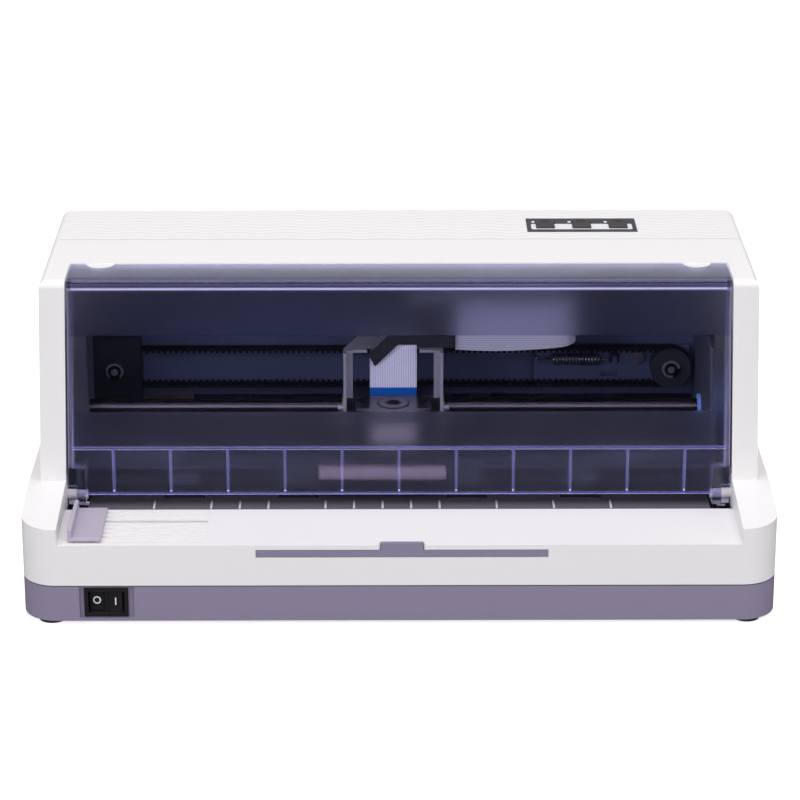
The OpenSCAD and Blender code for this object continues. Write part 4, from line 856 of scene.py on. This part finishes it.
def film_material(name, across, line, blue_below=None, plain_above=None, ground=1.0):
    """White film with conductor lines of the colour line repeated along the axis number
    across; a blue backing lies below blue_below and the film is plain above plain_above.
    The last argument scales the film's white: below 1 the film is painted darker as painted shade."""
    material, tree, bsdf = principled(name)
    bsdf.inputs["Roughness"].default_value = 0.35
    place, parts = position(tree)
    cycle = joined(tree, "FRACT", joined(tree, "MULTIPLY", parts[across],
                                         1.0 / CONDUCTOR_PITCH))
    ruled = joined(tree, "LESS_THAN", cycle, CONDUCTOR_SHARE)
    if plain_above is not None:
        ruled = joined(tree, "MULTIPLY", ruled,
                       joined(tree, "LESS_THAN", parts[2], plain_above))
    shown = blended(tree, ruled, tuple(ground * tone for tone in CABLE_WHITE), line)
    if blue_below is not None:
        low = joined(tree, "LESS_THAN", parts[2], blue_below)
        shown = blended(tree, low, shown, STIFFENER_BLUE)
    tree.links.new(shown, bsdf.inputs["Base Color"])
    bumped(tree, joined(tree, "ADD", ruled, noise(tree, place, 160.0)), 0.00003)
    return material


upright_film = film_material("upright_film", 0, (0.50, 0.49, 0.60), blue_below=0.0807,
                             plain_above=0.1015)
# A dark strip of tape holds the cable down where it folds over the bridge.
film_tree = upright_film.node_tree
film_parts = position(film_tree)[1]
tinted_where(upright_film, joined(film_tree, "GREATER_THAN", joined(
    film_tree, "SUBTRACT", film_parts[2], film_parts[0]), 0.1125), (0.10, 0.10, 0.11))
dress(upright_film, "head_cable")
# The loop is the same white film painted darker, with darker lines, as painted shade.
loop_film = film_material("loop_film", 2, (0.37, 0.365, 0.43), ground=0.60)
CABLE_Y = FRONT_Y + 0.110
CABLE_LOW_Z = 0.1026
CABLE_HIGH_Z = 0.1260
LOOP_START_X = 0.0283
LOOP_TURN_X = 0.0790
LOOP_ANCHOR_X = 0.0080
LOOP_RADIUS = 0.00975
FILM_T = 0.0005


def strand(name, track):
    """Film standing on edge along a plan curve: the track (n x 2 points) offset by half the
    thickness to both sides, from the low edge z = low - 0.0026 sin(pi u) to the high edge, where
    u = (x - start) / (end - start) over the free span; the film sags between its two ends."""
    track = np.asarray(track, float)
    along = np.gradient(track, axis=0)
    along /= np.linalg.norm(along, axis=1)[:, None]
    side = np.column_stack([-along[:, 1], along[:, 0]]) * FILM_T / 2
    span = (track[:, 0] - LOOP_ANCHOR_X) / (LOOP_TURN_X + LOOP_RADIUS - LOOP_ANCHOR_X)
    sag = 0.0026 * np.sin(np.pi * np.clip(span, 0, 1))
    rings = [np.column_stack([track + sign * side, level - sag])
             for sign, level in ((1, CABLE_LOW_Z), (-1, CABLE_LOW_Z), (-1, CABLE_HIGH_Z),
                                 (1, CABLE_HIGH_Z))]
    count = len(track)
    first = np.arange(count - 1)
    faces = [np.column_stack([first + a * count, first + b * count, first + 1 + b * count,
                              first + 1 + a * count]) for a, b in ((0, 1), (1, 2), (2, 3), (3, 0))]
    ends = [[0, 3 * count, 2 * count, count],
            [count - 1, 2 * count - 1, 3 * count - 1, 4 * count - 1]]
    mesh = new_mesh(name, np.vstack(rings), np.vstack(faces).tolist() + ends, loop_film)
    return finished_piece(name, mesh, node="cable_loop")


mid_y = CABLE_Y + FILM_T / 2
moving_x = np.linspace(LOOP_START_X, LOOP_TURN_X, 28)
moving_strand = strand("loop_moving_strand",
                       np.column_stack([moving_x, np.full(28, mid_y)]))
half_turn_angle = np.linspace(-math.pi / 2, math.pi / 2, 25)
half_turn = strand("loop_half_turn", np.column_stack([
    LOOP_TURN_X + LOOP_RADIUS * np.cos(half_turn_angle),
    mid_y + LOOP_RADIUS + LOOP_RADIUS * np.sin(half_turn_angle)]))
fixed_x = np.linspace(LOOP_TURN_X, LOOP_ANCHOR_X, 36)
fixed_strand = strand("loop_fixed_strand",
                      np.column_stack([fixed_x, np.full(36, mid_y + 2 * LOOP_RADIUS)]))
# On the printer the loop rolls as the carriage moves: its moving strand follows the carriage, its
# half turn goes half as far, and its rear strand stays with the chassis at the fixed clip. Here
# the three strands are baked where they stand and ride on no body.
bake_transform(moving_strand)
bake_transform(half_turn)
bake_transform(fixed_strand)


# --- Cable clip ----------------------------------------------------------------------------
# A black moulded clip on the bridge: its slanting bar presses the cable into its 45 degree
# fold and its upright plate backs the cable as far as the start of the loop.
def upright_plate(name, outline, front, back, material):
    """A plate parallel to the front: the anticlockwise outline (n x 2 points as x and z)
    between the two depths, with its rim."""
    outline = np.asarray(outline, float)
    count = len(outline)
    near = np.column_stack([outline[:, 0], np.full(count, front), outline[:, 1]])
    far = np.column_stack([outline[:, 0], np.full(count, back), outline[:, 1]])
    ring = np.arange(count)
    nxt = (ring + 1) % count
    walls = np.column_stack([ring, ring + count, nxt + count, nxt]).tolist()
    return new_mesh(name, np.vstack([near, far]),
                    [list(ring), list(ring[::-1] + count)] + walls, material)


clip_black = moulded_material("clip_black", (0.012, 0.012, 0.016), roughness=0.4, mottle=0.15)
clip_mesh = upright_plate("cable_clip_shaped", [
    (-0.0149, 0.0981), (-0.0118, 0.0926), (-0.0003, 0.1040), (0.0089, 0.1040),
    (0.0093, 0.1024), (0.0283, 0.1024), (0.0283, 0.1266), (0.0128, 0.1266), (-0.0024, 0.1112)],
    CABLE_Y - 0.0020, CABLE_Y - 0.0001, clip_black)
finished_piece("cable_clip_shaped", clip_mesh, "carriage", "cable_clip")


# --- Tension spring ------------------------------------------------------------------------
# A close-wound zinc-plated steel spring hooks between a tab of the chassis plate and the
# idler bracket, and keeps the belt tight.
SPRING_Y = FRONT_Y + 0.1514
SPRING_Z = 0.0810
SPRING_RADIUS = 0.0027
WIRE_RADIUS = 0.00045


def coil_spring(name, hook_x, coil_x, turns, material):
    """Round wire swept along a helix between straight hooks. With u from 0 to 1 over the
    coil: centre = (x0 + (x1 - x0) u, y + r cos(2 pi n u), z + r sin(2 pi n u)); the wire's own
    ring is r_wire (cos v radial + sin v axial)."""
    steps = int(turns * 16)
    u = np.linspace(0, 1, steps)
    coil = np.column_stack([coil_x[0] + (coil_x[1] - coil_x[0]) * u,
                            SPRING_Y + SPRING_RADIUS * np.cos(2 * math.pi * turns * u),
                            SPRING_Z + SPRING_RADIUS * np.sin(2 * math.pi * turns * u)])
    middle = [SPRING_Y, SPRING_Z]
    path = np.vstack([[hook_x[0], *middle], [coil_x[0] - 0.0016, *middle], coil,
                      [coil_x[1] + 0.0016, *middle], [hook_x[1], *middle]])
    along = np.gradient(path, axis=0)
    along /= np.linalg.norm(along, axis=1)[:, None]
    radial = np.cross(along, [1.0, 0.0, 0.02])
    radial /= np.linalg.norm(radial, axis=1)[:, None]
    other = np.cross(along, radial)
    v = np.linspace(0, 2 * math.pi, 8, endpoint=False)
    verts = (path[:, None, :] + WIRE_RADIUS * (np.cos(v)[None, :, None] * radial[:, None, :]
                                               + np.sin(v)[None, :, None] * other[:, None, :]))
    count = len(path)
    ring, turn = np.meshgrid(np.arange(count - 1), np.arange(8), indexing="ij")
    after = (turn + 1) % 8
    faces = np.stack([ring * 8 + turn, ring * 8 + after, (ring + 1) * 8 + after,
                      (ring + 1) * 8 + turn], axis=-1).reshape(-1, 4)
    caps = [list(range(7, -1, -1)), list(range((count - 1) * 8, count * 8))]
    mesh = new_mesh(name, verts.reshape(-1, 3), faces.tolist() + caps, material)
    mesh.shade_smooth()
    return mesh


spring_wire = brushed_material("spring_wire", (0.30, 0.29, 0.30), roughness=0.3, wear=0.2)
finished_piece("belt_spring", coil_spring("belt_spring", (0.0716, 0.1104), (0.0790, 0.1040),
                                          15, spring_wire),
               "casing", "tension_spring")
